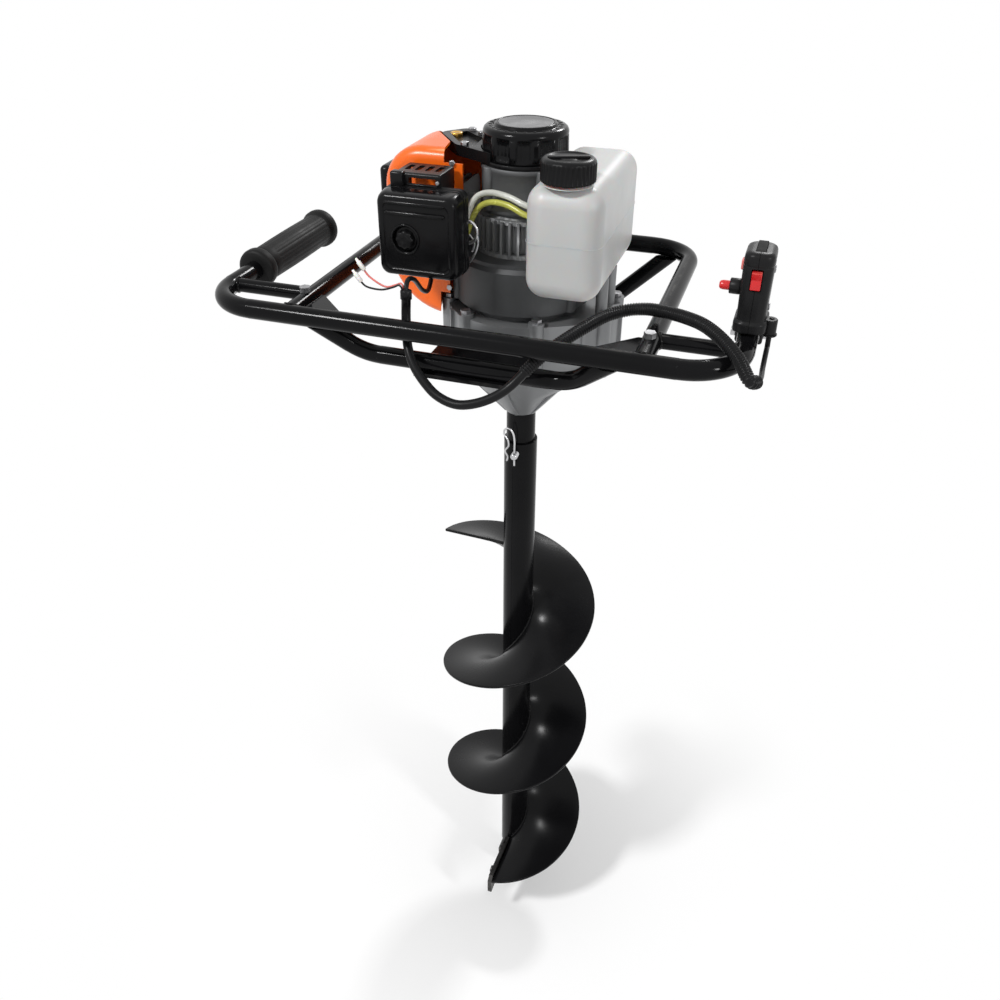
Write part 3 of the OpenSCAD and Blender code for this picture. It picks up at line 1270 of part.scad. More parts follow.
handlebar_tube();
rear_hoop();
side_braces();
front_bow();
rear_bow();
gusset_plates();
mount_brackets();
rubber_mounts();
frame_bolts();
left_grip();
handle_shell();
handle_cover();
clamp_bolt();
throttle_trigger();
lockout_lever();
stop_switch();
lock_button();
cable_loom();
throttle_cable();
stop_leads();
starter_cover();
starter_bracket();
starter_pulley();
starter_rope();
starter_grip();
crankcase();
crankshaft();
bearings();
engine_block();
cylinder_cover();
spark_plug();
plug_cap();
ignition_coil();
carburettor();
filter_base();
filter_cover();
filter_element();
filter_knob();
choke_lever();
primer_bulb();
muffler();
muffler_guard();
fan_housing();
flywheel_fan();
clutch_shoes();
clutch_drum();
fuel_tank();
fuel_cap();
cap_seal();
fuel_hoses();
gearbox_case();
gearbox_cover();
gearbox_bolts();
layshaft();
output_shaft();
auger_tube();
auger_flight();
cutting_blade();
drill_point();
coupling_pin();
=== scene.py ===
import math
import random
import bpy
import bmesh
from mathutils import Matrix, Vector


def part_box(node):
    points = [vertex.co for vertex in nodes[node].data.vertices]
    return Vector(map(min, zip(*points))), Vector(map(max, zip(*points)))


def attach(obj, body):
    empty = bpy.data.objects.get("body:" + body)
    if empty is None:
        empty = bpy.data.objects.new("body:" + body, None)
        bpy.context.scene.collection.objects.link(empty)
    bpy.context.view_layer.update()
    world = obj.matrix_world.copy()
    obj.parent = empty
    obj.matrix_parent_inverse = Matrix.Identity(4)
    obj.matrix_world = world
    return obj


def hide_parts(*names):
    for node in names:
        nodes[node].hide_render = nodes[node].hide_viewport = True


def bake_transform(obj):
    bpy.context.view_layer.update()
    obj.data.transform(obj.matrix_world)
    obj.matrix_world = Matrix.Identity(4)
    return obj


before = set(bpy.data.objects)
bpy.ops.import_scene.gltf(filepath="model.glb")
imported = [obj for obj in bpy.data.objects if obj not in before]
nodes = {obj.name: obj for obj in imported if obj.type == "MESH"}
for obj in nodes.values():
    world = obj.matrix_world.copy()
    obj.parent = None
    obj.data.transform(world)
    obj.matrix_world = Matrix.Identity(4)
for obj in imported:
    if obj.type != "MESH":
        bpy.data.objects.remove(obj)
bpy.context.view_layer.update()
root = "powerhead_and_frame"
mm = 0.001  # shapes are written in millimetres, Blender takes metres


def toMetres(points):
    return [tuple(c * mm for c in p) for p in points]


def show(name, data):
    made = bpy.data.objects.new(name, data)
    bpy.context.scene.collection.objects.link(made)
    return made


def addNode(tree, kind, inputs=None, **props):
    made = tree.nodes.new(kind)
    for key, value in props.items():
        setattr(made, key, value)
    for key, value in (inputs or {}).items():
        made.inputs[key].default_value = value
    return made


print("stage: camera")
camera = {"pitch": 33.84, "roll": 0.18, "yaw": -1.445, "turn": 16.8, "at": (271.8, -900.4, 1342.5), "lens": 33.74, "sensor": 36}
pitch, roll, yaw, turn = (math.radians(camera[key]) for key in ("pitch", "roll", "yaw", "turn"))
cam = bpy.data.cameras.new("cameraData")
camObj = show("camera", cam)
bpy.context.scene.camera = camObj
cam.sensor_width = camera["sensor"]
cam.lens = camera["lens"]
cam.clip_end = 30
ahead = Vector((math.sin(yaw) * math.cos(pitch), math.cos(yaw) * math.cos(pitch), -math.sin(pitch)))
ahead = Matrix.Rotation(turn, 3, "Z") @ ahead
side = ahead.cross(Vector((0, 0, 1))).normalized()
above = side.cross(ahead)
side, above = side * math.cos(roll) + above * math.sin(roll), above * math.cos(roll) - side * math.sin(roll)
camObj.matrix_world = (Matrix.Translation(Vector(toMetres([camera["at"]])[0]))
                       @ Matrix((side, above, -ahead)).transposed().to_4x4())

print("stage: materials")


class Paint:

    def __init__(self, name, base, rough, metal=0.0, **sockets):
        self.mat = bpy.data.materials.new(name)
        self.mat.use_nodes = True
        self.tree = self.mat.node_tree
        self.bsdf = self.tree.nodes["Principled BSDF"]
        self.base = base
        self.height = None
        values = {"Base Color": (*base, 1), "Roughness": rough, "Metallic": metal}
        values.update({key.replace("_", " "): value for key, value in sockets.items()})
        for key, value in values.items():
            self.bsdf.inputs[key].default_value = value
        self.coord = addNode(self.tree, "ShaderNodeTexCoord").outputs["Object"]

    def link(self, a, b):
        self.tree.links.new(a, b)

    def noise(self, scale, detail=4.0, rough=0.55, stretch=None):
        made = addNode(self.tree, "ShaderNodeTexNoise", {"Scale": scale, "Detail": detail, "Roughness": rough})
        vector = self.coord
        if stretch:
            mapping = addNode(self.tree, "ShaderNodeMapping", {"Scale": stretch})
            self.link(vector, mapping.inputs["Vector"])
            vector = mapping.outputs["Vector"]
        self.link(vector, made.inputs["Vector"])
        return made.outputs["Fac"]

    def cells(self, scale):
        made = addNode(self.tree, "ShaderNodeTexVoronoi", {"Scale": scale})
        self.link(self.coord, made.inputs["Vector"])
        return made.outputs["Distance"]

    def ramp(self, value, stops):
        made = addNode(self.tree, "ShaderNodeValToRGB")
        bar = made.color_ramp
        bar.elements[0].position = stops[0][0]
        bar.elements[1].position = stops[-1][0]
        for place, _ in stops[1:-1]:
            bar.elements.new(place)
        for element, (_, tone) in zip(bar.elements, stops):
            element.color = (*(tone if hasattr(tone, "__len__") else (tone, tone, tone)), 1)
        self.link(value, made.inputs["Fac"])
        return made.outputs["Color"]

    def colour(self, socket):
        self.link(socket, self.bsdf.inputs["Base Color"])
        return self

    def vary(self, scale, amount, stretch=None):
        dark = tuple(c * (1 - amount) for c in self.base)
        light = tuple(min(1, c * (1 + amount)) for c in self.base)
        return self.ramp(self.noise(scale, stretch=stretch), [(0.3, dark), (0.7, light)])

    def roughness(self, scale, low, high):
        self.link(self.ramp(self.noise(scale, 6), [(0.32, low), (0.68, high)]), self.bsdf.inputs["Roughness"])
        return self

    def worn(self, colour, tone, low, high):  # a lighter tone in broken spots along the edges
        point = addNode(self.tree, "ShaderNodeNewGeometry").outputs["Pointiness"]
        both = addNode(self.tree, "ShaderNodeMath", operation="MULTIPLY")
        self.link(self.ramp(point, [(low, 0.0), (high, 1.0)]), both.inputs[0])
        self.link(self.ramp(self.noise(60.0, 5), [(0.42, 0.0), (0.62, 1.0)]), both.inputs[1])
        blend = addNode(self.tree, "ShaderNodeMix", data_type="RGBA")
        self.link(both.outputs[0], blend.inputs["Factor"])
        self.link(colour, blend.inputs["A"])
        blend.inputs["B"].default_value = (*tone, 1)
        return blend.outputs["Result"]

    def bump(self, source, distance, strength):
        made = addNode(self.tree, "ShaderNodeBump", {"Distance": distance, "Strength": strength})
        self.link(source, made.inputs["Height"])
        if self.height:
            self.link(self.height, made.inputs["Normal"])
        self.height = made.outputs["Normal"]
        self.link(self.height, self.bsdf.inputs["Normal"])
        return self


def surface(name, base, rough, metal=0.0, patches=None, shine=None, grain=None, edges=None, **sockets):
    # patches: scale, amount. shine: scale, low, high. grain: scale, detail, depth, strength. edges: tone, low, high
    made = Paint(name, base, rough, metal, **sockets)
    if patches:
        tone = made.vary(*patches)
        made.colour(made.worn(tone, *edges) if edges else tone)
    if shine:
        made.roughness(*shine)
    if grain:
        made.bump(made.noise(*grain[:2]), *grain[2:])
    return made


def blackPaint(name, rough, specular=0.09):
    return surface(name, (0.0045, 0.0045, 0.005), rough, patches=(18, 0.2), shine=(14, rough - 0.03, rough + 0.05),
                   grain=(260, 3, 0.0004, 0.12), edges=((0.05, 0.048, 0.046), 0.56, 0.64), Specular_IOR_Level=specular)


def blackPlastic(name, base, rough, grain=1500, specular=0.13):
    return surface(name, base, rough, patches=(12, 0.18), shine=(25, rough - 0.08, rough + 0.1),
                   grain=(grain, 2, 0.0002, 0.2), edges=((0.032, 0.032, 0.032), 0.55, 0.64), Specular_IOR_Level=specular)


def castAlloy(name, base, rough, metal=0.3):
    made = surface(name, base, rough, metal, shine=(60, rough, rough + 0.03), grain=(900, 3, 0.0004, 0.35))
    stops = [(place, tuple(c * share for c in base)) for place, share in ((0.3, 0.97), (0.55, 1), (0.75, 1.02))]
    return made.colour(made.ramp(made.noise(32, 6, 0.65), stops))


paint = blackPaint("framePaint", 0.13)
flightPaint = blackPaint("flightPaint", 0.24, 0.11)
tubePaint = blackPaint("tubePaint", 0.18)
gripRubber = blackPlastic("gripRubber", (0.007, 0.007, 0.007), 0.5, 900)
moulded = blackPlastic("blackNylon", (0.006, 0.006, 0.0065), 0.3)
mouldedGloss = blackPlastic("blackGloss", (0.0045, 0.0045, 0.005), 0.17)
handlePlastic = blackPlastic("handleNylon", (0.011, 0.011, 0.0115), 0.34, 1200)
loomPlastic = blackPlastic("loomPlastic", (0.007, 0.007, 0.0075), 0.32)
leverNylon = blackPlastic("leverNylon", (0.005, 0.005, 0.005), 0.55, 600, 0.05)
blackWire = blackPlastic("blackWire", (0.02, 0.02, 0.02), 0.35)
alloy = castAlloy("castAlloy", (0.2, 0.204, 0.208), 0.5)
darkAlloy = castAlloy("darkCasting", (0.058, 0.06, 0.062), 0.5)
# a darker copy of the crankcase alloy: painted shade for the upper crankcase and its bosses
shadedCrankcaseAlloy = castAlloy("crankcasePaintedShade", (0.1, 0.102, 0.105), 0.46)
greyAlloy = castAlloy("gearboxCasting", (0.23, 0.235, 0.24), 0.44, 0.55)
steel = surface("brightSteel", (0.56, 0.56, 0.57), 0.3, 1.0, (60, 0.2), (80, 0.2, 0.42), (600, 3, 0.0002, 0.2))
darkSteel = surface("darkSteel", (0.2, 0.2, 0.21), 0.38, 1.0, (40, 0.3), (60, 0.28, 0.5), (500, 3, 0.0002, 0.2))
boltSteel = surface("boltSteel", (0.35, 0.35, 0.36), 0.35, 1.0, (90, 0.3), (90, 0.25, 0.5), (700, 3, 0.0002, 0.2))
brass = surface("warmBrass", (0.62, 0.36, 0.08), 0.3, 1.0, (80, 0.25), (90, 0.22, 0.4), (900, 2, 0.0001, 0.2))
bareDisc = surface("bareDisc", (0.15, 0.15, 0.155), 0.34, 0.3, (60, 0.25), (90, 0.24, 0.42), (1400, 2, 0.0001, 0.2))
orange = surface("orangeCover", (0.86, 0.135, 0.008), 0.3, 0.0, (8, 0.07), (16, 0.2, 0.34), (900, 2, 0.0002, 0.1),
                 ((1.0, 0.42, 0.2), 0.55, 0.64), Specular_IOR_Level=0.4)
red = surface("redPlastic", (0.62, 0.012, 0.014), 0.25, 0.0, (30, 0.15), (60, 0.2, 0.34), (1500, 2, 0.0001, 0.2),
              ((0.9, 0.2, 0.16), 0.54, 0.6))
tank = surface("tankPlastic", (0.5, 0.505, 0.5), 0.4, 0.0, (7, 0.035), (22, 0.3, 0.46), (700, 2, 0.0002, 0.12),
               Subsurface_Weight=0.35, Subsurface_Scale=0.012, IOR=1.48)
tank.bump(tank.noise(26, 2), 0.0006, 0.12)
rope = surface("ropeBraid", (0.78, 0.75, 0.68), 0.7, 0.0, (200, 0.2))
rope.bump(rope.cells(1100), 0.0004, 0.5)
foam = surface("filterFoam", (0.09, 0.09, 0.08), 0.95, 0.0, (300, 0.4))
foam.bump(foam.cells(700), 0.0008, 0.8)
hoseYellow = surface("fuelHose", (0.62, 0.62, 0.12), 0.22, 0.0, (60, 0.15), (60, 0.16, 0.3), (400, 2, 0.0002, 0.1),
                     Transmission_Weight=0.25, IOR=1.45)
hoseClear = surface("clearHose", (0.78, 0.79, 0.72), 0.18, 0.0, (60, 0.12), (60, 0.12, 0.26), (400, 2, 0.0002, 0.1),
                    Transmission_Weight=0.3, IOR=1.45)
sleeve = surface("whiteSleeve", (0.86, 0.85, 0.81), 0.4, 0.0, (90, 0.08), (90, 0.34, 0.5), (800, 2, 0.0001, 0.2),
                 Subsurface_Weight=0.2, Subsurface_Scale=0.003)
wirePink = surface("pinkWire", (0.72, 0.18, 0.16), 0.4, 0.0, (120, 0.15), None, (900, 2, 0.0001, 0.2))
muffSteel = surface("silencerSteel", (0.16, 0.13, 0.11), 0.5, 0.85, None, (40, 0.4, 0.65), (500, 3, 0.0003, 0.3))
muffSteel.colour(muffSteel.ramp(muffSteel.noise(18, 6), [
    (0.3, (0.06, 0.045, 0.04)), (0.55, (0.17, 0.13, 0.11)), (0.75, (0.26, 0.22, 0.2))]))
groundSteel = surface("groundSteel", (0.07, 0.068, 0.066), 0.38, 0.9, (50, 0.35, (1, 1, 6)), (70, 0.25, 0.5))
groundSteel.bump(groundSteel.noise(300, 4, stretch=(1, 1, 8)), 0.0003, 0.3)

for finish, names in (
        (paint, "handlebar_tube rear_hoop side_braces front_bow rear_bow gusset_plates mount_brackets"),
        (gripRubber, "rubber_mounts left_grip starter_grip cap_seal"),
        (handlePlastic, "handle_shell handle_cover throttle_trigger"),
        (leverNylon, "lockout_lever"), (red, "stop_switch lock_button primer_bulb"), (loomPlastic, "cable_loom throttle_cable"),
        (sleeve, "stop_leads spark_plug"), (mouldedGloss, "starter_cover filter_cover"), (rope, "starter_rope"),
        (moulded, "starter_bracket starter_pulley plug_cap ignition_coil filter_base filter_knob choke_lever fuel_cap"),
        (alloy, "crankcase engine_block carburettor flywheel_fan"), (orange, "cylinder_cover"), (foam, "filter_element"),
        (steel, "clamp_bolt crankshaft bearings layshaft coupling_pin"), (boltSteel, "frame_bolts gearbox_bolts"),
        (muffSteel, "muffler"), (darkSteel, "muffler_guard clutch_shoes clutch_drum"), (darkAlloy, "fan_housing"),
        (tank, "fuel_tank"), (hoseYellow, "fuel_hoses"), (greyAlloy, "gearbox_case gearbox_cover"),
        (tubePaint, "output_shaft auger_tube"), (flightPaint, "auger_flight drill_point"), (groundSteel, "cutting_blade")):
    for name in names.split():
        nodes[name].data.materials.clear()
        nodes[name].data.materials.append(finish.mat)

print("stage: helpers")


def loose(name, verts, faces, check=False):
    mesh = bpy.data.meshes.new(name + "Mesh")
    mesh.from_pydata(toMetres(verts), [], faces)
    if check:
        mesh.validate()
    build = bmesh.new()
    build.from_mesh(mesh)
    bmesh.ops.recalc_face_normals(build, faces=build.faces)
    build.to_mesh(mesh)
    build.free()
    return show(name, mesh)


def smooth(made):
    for face in made.data.polygons:
        face.use_smooth = True
    return made


def addPiece(name, verts, faces, finish, body=root):
    made = smooth(loose(name, verts, faces, check=True))
    made.data.materials.append(finish.mat)
    if body:
        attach(made, body)
    return made


def settle(made):
    bpy.context.view_layer.update()
    graph = bpy.context.evaluated_depsgraph_get()
    done = bpy.data.meshes.new_from_object(made.evaluated_get(graph))
    made.modifiers.clear()
    made.data = done
    return made


def bevel(made, width, segments, angle=None):
    edge = made.modifiers.new("edge", "BEVEL")
    edge.width = width * mm
    edge.segments = segments
    edge.limit_method = "ANGLE" if angle else "NONE"
    if angle:
        edge.angle_limit = math.radians(angle)
    return edge


def soften(made, width=0.8, segments=2, angle=35, weld=False):
    if weld:
        made.modifiers.new("join", "WELD").merge_threshold = 0.00002
    bevel(made, width, segments, angle).use_clamp_overlap = True
    smooth(made).modifiers.new("normals", "WEIGHTED_NORMAL")
    return made


def cut(made, cutter, operation="DIFFERENCE"):
    change = made.modifiers.new("cut", "BOOLEAN")
    change.object = cutter
    change.operation = operation
    change.solver = "EXACT"
    settle(made)
    bpy.data.objects.remove(cutter)
    return made


def stand(pieces, node):
    for piece in pieces:
        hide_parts(node)


def ringFaces(rings, around, closeRings=False):
    faces = []
    for k in range(rings if closeRings else rings - 1):
        for j in range(around):
            here, there = k * around, ((k + 1) % rings) * around
            faces.append((here + j, here + (j + 1) % around, there + (j + 1) % around, there + j))
    if not closeRings:
        faces += [tuple(range(around)), tuple((rings - 1) * around + j for j in range(around))]
    return faces


def onAxis(axis, x, y, h, at):
    a, b, c = {"z": (x, y, h), "y": (y, h, x), "x": (h, x, y)}[axis]
    return (a + at[0], b + at[1], c + at[2])


def circles(profile, at, axis, around, shape=None):
    verts = []
    for r, h in profile:
        for j in range(around):
            a = 2 * math.pi * j / around
            q = shape(a, r, h) if shape else r
            verts.append(onAxis(axis, q * math.cos(a), q * math.sin(a), h, at))
    return verts


def lathe(name, profile, finish, at=(0, 0, 0), axis="z", around=96, body=root, shape=None, closeRings=False):
    verts = circles(profile, at, axis, around, shape)
    return addPiece(name, verts, ringFaces(len(profile), around, closeRings), finish, body)


def rod(at, axis, radius, low, high, around=64):
    return loose("cutter", circles([(radius, low), (radius, high)], at, axis, around), ringFaces(2, around))


def boxCorners(lo, hi):
    return [(x, y, z) for z in (lo[2], hi[2]) for x, y in ((lo[0], lo[1]), (hi[0], lo[1]), (hi[0], hi[1]), (lo[0], hi[1]))]


def block(lo, hi):
    return loose("cutter", boxCorners(lo, hi), ringFaces(2, 4))


def roundedBox(name, lo, hi, r, finish=None, segments=5):
    faces = [(0, 3, 2, 1), (4, 5, 6, 7), (0, 1, 5, 4), (1, 2, 6, 5), (2, 3, 7, 6), (3, 0, 4, 7)]
    made = solid(name, boxCorners(lo, hi), faces, finish)
    bevel(made, r, segments)
    return smooth(settle(made))


def smoothRoute(points, k=8):
    out = []
    for i in range(len(points) - 1):
        a, b, c, d = (Vector(points[min(max(n, 0), len(points) - 1)]) for n in range(i - 1, i + 3))
        for j in range(k):
            t = j / k
            out.append(0.5 * (2 * b + (c - a) * t + (2 * a - 5 * b + 4 * c - d) * t * t + (3 * b - a - 3 * c + d) * t ** 3))
    out.append(Vector(points[-1]))
    return out


def measure(route):
    sums = [0.0]
    for a, b in zip(route, route[1:]):
        sums.append(sums[-1] + (b - a).length)
    return sums


def along(route, sums, s):
    s = min(max(s, 0.0), sums[-1])
    lo, hi = 0, len(sums) - 1
    while hi - lo > 1:
        mid = (lo + hi) // 2
        lo, hi = (mid, hi) if sums[mid] <= s else (lo, mid)
    span = sums[hi] - sums[lo]
    return route[lo].lerp(route[hi], (s - sums[lo]) / span if span else 0)


def nearest(route, point):
    return min(range(len(route)), key=lambda i: (route[i] - Vector(point)).length)


def sweep(name, route, stations, finish, sides=12, body=root, wobble=0.0, seed=1):
    sums = measure(route)
    rnd = random.Random(seed)
    normal = None
    verts = []
    for s, r in stations:
        here = along(route, sums, s)
        way = (along(route, sums, s + 0.6) - along(route, sums, s - 0.6)).normalized()
        if normal is None:
            normal = way.cross(Vector((0, 0, 1)) if abs(way.z) < 0.9 else Vector((1, 0, 0))).normalized()
        normal = (normal - way * normal.dot(way)).normalized()
        other = way.cross(normal)
        for j in range(sides):
            a = 2 * math.pi * j / sides
            q = r * (1 + wobble * (rnd.random() - 0.5))
            verts.append(tuple(here + normal * (q * math.cos(a)) + other * (q * math.sin(a))))
    return addPiece(name, verts, ringFaces(len(stations), sides), finish, body)


def evenSweep(name, route, step, radius, finish, sides=12, body=root):
    length = measure(route)[-1]
    n = max(2, round(length / step))
    return sweep(name, route, [(length * i / n, radius) for i in range(n + 1)], finish, sides, body)


def roundOutline(corners, steps=8):
    out = []
    for i, (x, y, r) in enumerate(corners):
        here = Vector((x, y))
        u = (Vector(corners[i - 1][:2]) - here).normalized()
        v = (Vector(corners[(i + 1) % len(corners)][:2]) - here).normalized()
        half = math.acos(max(-1, min(1, u.dot(v)))) / 2
        reach = r / math.tan(half)
        centre = here + (u + v).normalized() * (r / math.sin(half))
        start = here + u * reach - centre
        end = here + v * reach - centre
        turn = math.atan2(start.x * end.y - start.y * end.x, start.dot(end))
        for k in range(steps + 1):
            a = turn * k / steps
            out.append((centre.x + start.x * math.cos(a) - start.y * math.sin(a),
                        centre.y + start.x * math.sin(a) + start.y * math.cos(a)))
    return out


def roundRect(halfX, halfY, r, steps=8):
    return roundOutline([(-halfX, -halfY, r), (halfX, -halfY, r), (halfX, halfY, r), (-halfX, halfY, r)], steps)


def solid(name, verts, faces, finish=None, body=root):  # without a finish it is a cutter
    return addPiece(name, verts, faces, finish, body) if finish else loose(name, verts, faces)


def slab(name, outline, z0, z1, finish=None, body=root, turn=None, width=1.0, segments=3):
    turn = turn or (lambda x, y, z: (x, y, z))
    n = len(outline)
    verts = [turn(x, y, z0) for x, y in outline] + [turn(x, y, z1) for x, y in outline]
    faces = [tuple(range(n - 1, -1, -1)), tuple(range(n, 2 * n))]
    faces += [(i, (i + 1) % n, n + (i + 1) % n, n + i) for i in range(n)]
    made = solid(name, verts, faces, finish, body)
    return soften(made, width, segments) if finish else made


def screwHead(name, at, axis, radius, height, flip=1):
    verts = []
    for share, h in ((0.98, 0), (1, 0.1), (1, 0.8), (0.88, 1), (0.4, 1)):
        for j in range(6):
            a = math.pi / 3 * j + 0.3
            r = radius * share
            verts.append(onAxis(axis, r * math.cos(a), r * math.sin(a), flip * height * h, at))
    return soften(addPiece(name, verts, ringFaces(5, 6), boltSteel), 0.35, 2, 20)


print("stage: cords")
zFrame, handY = 1008, -125
glandX, glandY, glandZ = 257, -128, 1018
loomPoints = [
    (glandX, glandY, glandZ - 0.02), (glandX, glandY, glandZ - 12), (257, -136, 1006), (257, -160, 1001),
    (257, -190, 1004), (250, -207, 1010), (238, -192, 1020), (222, -174, 1027), (205, -157, 1030),
    (188, -143, 1029), (170, -132, 1027), (152, -125, 1025), (134, -126, 1022), (118, -137, 1019),
    (104, -155, 1014), (90, -172, 1007), (76, -187, 998), (66, -200, 989), (54, -212, 976),
    (40, -216, 965), (22, -217, 956), (4, -216, 952), (-14, -213, 956), (-28, -208, 965),
    (-40, -202, 977), (-48, -194, 989), (-53, -184, 1001), (-55, -179, 1013), (-55, -177, 1026),
    (-55, -176, 1036),
]
loomForm = {"ribStep": 2.3, "start": (255.5, -198, 1006.5), "ribsEnd": (62, -204, 986),
            "rib": ((0.12, 4.9), (0.32, 5.6), (0.5, 5.8), (0.7, 5.6), (0.9, 4.9))}  # place in the step, radius
loomRoute = smoothRoute(loomPoints)
loomRoute = loomRoute[nearest(loomRoute, loomForm["start"]):]
loomSums = measure(loomRoute)
loomLength = loomSums[-1]
ribbedLength = loomSums[nearest(loomRoute, loomForm["ribsEnd"])]
ribCount = round(ribbedLength / loomForm["ribStep"])
ribStep = ribbedLength / ribCount
stations = [(0, 4.2)] + [(i * ribStep + ribStep * share, r) for i in range(ribCount) for share, r in loomForm["rib"]]
stations += [(ribbedLength + 0.5, 4.9), (ribbedLength + 0.9, 4.3)]
stations += [(ribbedLength + 2 + i * 3, 4.25) for i in range(int((loomLength - ribbedLength - 14) / 3))]
stations += [(loomLength - back, r) for back, r in ((9, 4.3), (8.4, 5.2), (1.2, 5.2), (0.5, 4.7), (0, 3.2))]
loom = sweep("ribbedLoom", loomRoute, stations, loomPlastic, sides=18)
cableRoute = smoothRoute([(glandX, glandY, glandZ + 14)] + loomPoints + [
    (-56, -168, 1042), (-57, -152, 1036), (-62, -124, 1016), (-68, -96, 1004), (-74, -72, 1006),
    (-75, -60, 1022), (-75, -60, 1030),
])
cable = evenSweep("throttleCable", cableRoute, 3, 2.25, loomPlastic)
stand([loom], "cable_loom")
stand([cable], "throttle_cable")

cords = []
for s, wire, tag in ((-1, blackWire, "A"), (1, wirePink, "B")):
    y = -170 + 4 * s
    route = smoothRoute([(-58, -177 + 1.65 * s, 1026), (-58, -176 + 1.65 * s, 1036), (-60.5, -176 + 2.2 * s, 1040),
                         (-68, -172 + 3 * s, 1036), (-80, y, 1032), (-94, y, 1036 + 3 * s), (-100, y, 1042 + 4 * s)])
    lead = evenSweep("stopLead" + tag, route, 1.5, 0.9, wire, sides=10)
    base = Vector((-99, y, 1041 + 4 * s))
    way = Vector((-math.sin(math.radians(38)), 0, math.cos(math.radians(38))))
    tip = sweep("terminalSleeve" + tag, [base + way * step for step in (0, 2, 4, 6, 8, 10, 12, 13)],
                [(0, 1.5), (0.6, 2.1), (8.6, 2.15), (9.2, 1.9), (9.6, 1.25), (12.4, 1.2), (12.9, 0.7)], sleeve, sides=16)
    stand([lead, tip], "stop_leads")
    cords.append((lead, [tip], route, 0.0018, "connector", "limp", "loose"))
for tag, finish, points in (
        ("A", hoseClear, [(-47, -66, 1056), (-42, -63, 1059), (-39, -55, 1073), (-33, -49, 1085),
                          (-19, -49, 1090), (0, -54, 1089), (16, -59, 1085), (28.5, -60, 1082)]),
        ("B", hoseYellow, [(-47, -58, 1048), (-41, -57, 1051), (-38, -51, 1063), (-31, -48, 1075),
                           (-18, -49, 1081), (0, -54, 1081), (16, -59, 1076), (28.5, -60, 1073)])):
    route = smoothRoute(points)
    hose = evenSweep("fuelHose" + tag, route, 2, 2.85, finish, sides=16)
    stand([hose], "fuel_hoses")
    cords.append((hose, [], route, 0.0057, "object", "medium", "hanging"))
cords.append((cable, [loom], cableRoute, 0.0045, "object", "stiff", "hanging"))
for piece, cover, route, across, far, stiff, lay in cords:
    path = toMetres(route)

print("stage: soil bit")
flight = {"outer": 100.0, "inner": 19.3, "pitch": 202.5, "turns": 2.75, "thick": 4.5, "foot": 85.7, "start": -92.2}


def flightPoint(turn, radius, lift):
    a = math.radians(flight["start"] + turn * 360)
    return (radius * math.cos(a), radius * math.sin(a), flight["foot"] + turn * flight["pitch"] + lift)


def makeFlight():  # one swept section with a rounded rim, slightly rippled and nicked as rolled plate is
    steps = 264
    half = flight["thick"] / 2
    inner, outer = flight["inner"], flight["outer"]
    upper = [(inner + (99.2 - inner) * k / 9, half * (1.0 - 0.12 * k / 9)) for k in range(10)]
    edge = [(99.75, half * 0.66), (outer, half * 0.25), (outer, -half * 0.25), (99.75, -half * 0.66)]
    section = upper + edge + [(r, -lift) for r, lift in reversed(upper)]
    verts = []
    for i in range(steps + 1):
        turn = flight["turns"] * i / steps
        ripple = 0.35 * math.sin(turn * 23) + 0.25 * math.sin(turn * 61 + 1)
        nick = 0.12 * abs(math.sin(turn * 47))
        for r, lift in section:
            verts.append(flightPoint(turn, r - (0.0 if r < 99 else nick), lift + 0.1 * ripple * (r - 19) / 81))
    return addPiece("flight", verts, ringFaces(steps + 1, len(section)), flightPaint, "bit")


flightPiece = makeFlight()
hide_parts("auger_flight")
soften(flightPiece, 0.3, 1, 60)


def weldBead(name, path, radius, finish, seed, step, body=root):
    rnd = random.Random(seed)
    length = measure(path)[-1]
    count = max(4, int(length / step))
    bead = [(length * i / count, radius * (0.82 + 0.25 * (1 - i % 2) + 0.175 * (rnd.random() - 0.5)))
            for i in range(count + 1)]
    return sweep(name, path, bead, finish, 8, body, 0.22, seed)


for k, lift in enumerate((2.6, -2.6)):
    path = [Vector(flightPoint(flight["turns"] * i / 330, 19.6, lift)) for i in range(4, 327)]
    weldBead("flightWeld%d" % k, path, 2.0, flightPaint, 11 + k, 2.6, "bit")

drops = {"count": 260, "seed": 5, "turns": 2.7, "tube": 19.3, "least": 0.35, "more": 0.6}  # weld spatter
spatter = random.Random(drops["seed"])
dots = {"verts": [], "faces": []}
ball = [(0.0, 0.0, 1.0)]
for row in (0.45, -0.2):
    for j in range(5):
        a = 2 * math.pi * j / 5 + row
        ball.append((math.cos(a) * math.sqrt(1 - row * row), math.sin(a) * math.sqrt(1 - row * row), row))
ballFaces = [(0, 1 + j, 1 + (j + 1) % 5) for j in range(5)]
ballFaces += [(1 + j, 6 + j, 6 + (j + 1) % 5, 1 + (j + 1) % 5) for j in range(5)]
ballFaces.append((6, 7, 8, 9, 10))
for i in range(drops["count"]):
    turn = spatter.random() * drops["turns"]
    grow = abs(spatter.gauss(0, 1))
    upper = spatter.random() < 0.5
    if spatter.random() < 0.55:
        centre = flightPoint(turn, drops["tube"], (4 + grow * 7) * (1 if upper else -1))
    else:
        centre = flightPoint(turn, 22 + grow * 7, 2.3 if upper else -2.3)
    size = drops["least"] + drops["more"] * spatter.random() ** 2
    first = len(dots["verts"])
    dots["verts"] += [(centre[0] + size * x, centre[1] + size * y, centre[2] + size * z * 0.8) for x, y, z in ball]
    dots["faces"] += [tuple(first + v for v in face) for face in ballFaces]
addPiece("weldSpatter", dots["verts"], dots["faces"], flightPaint, "bit")

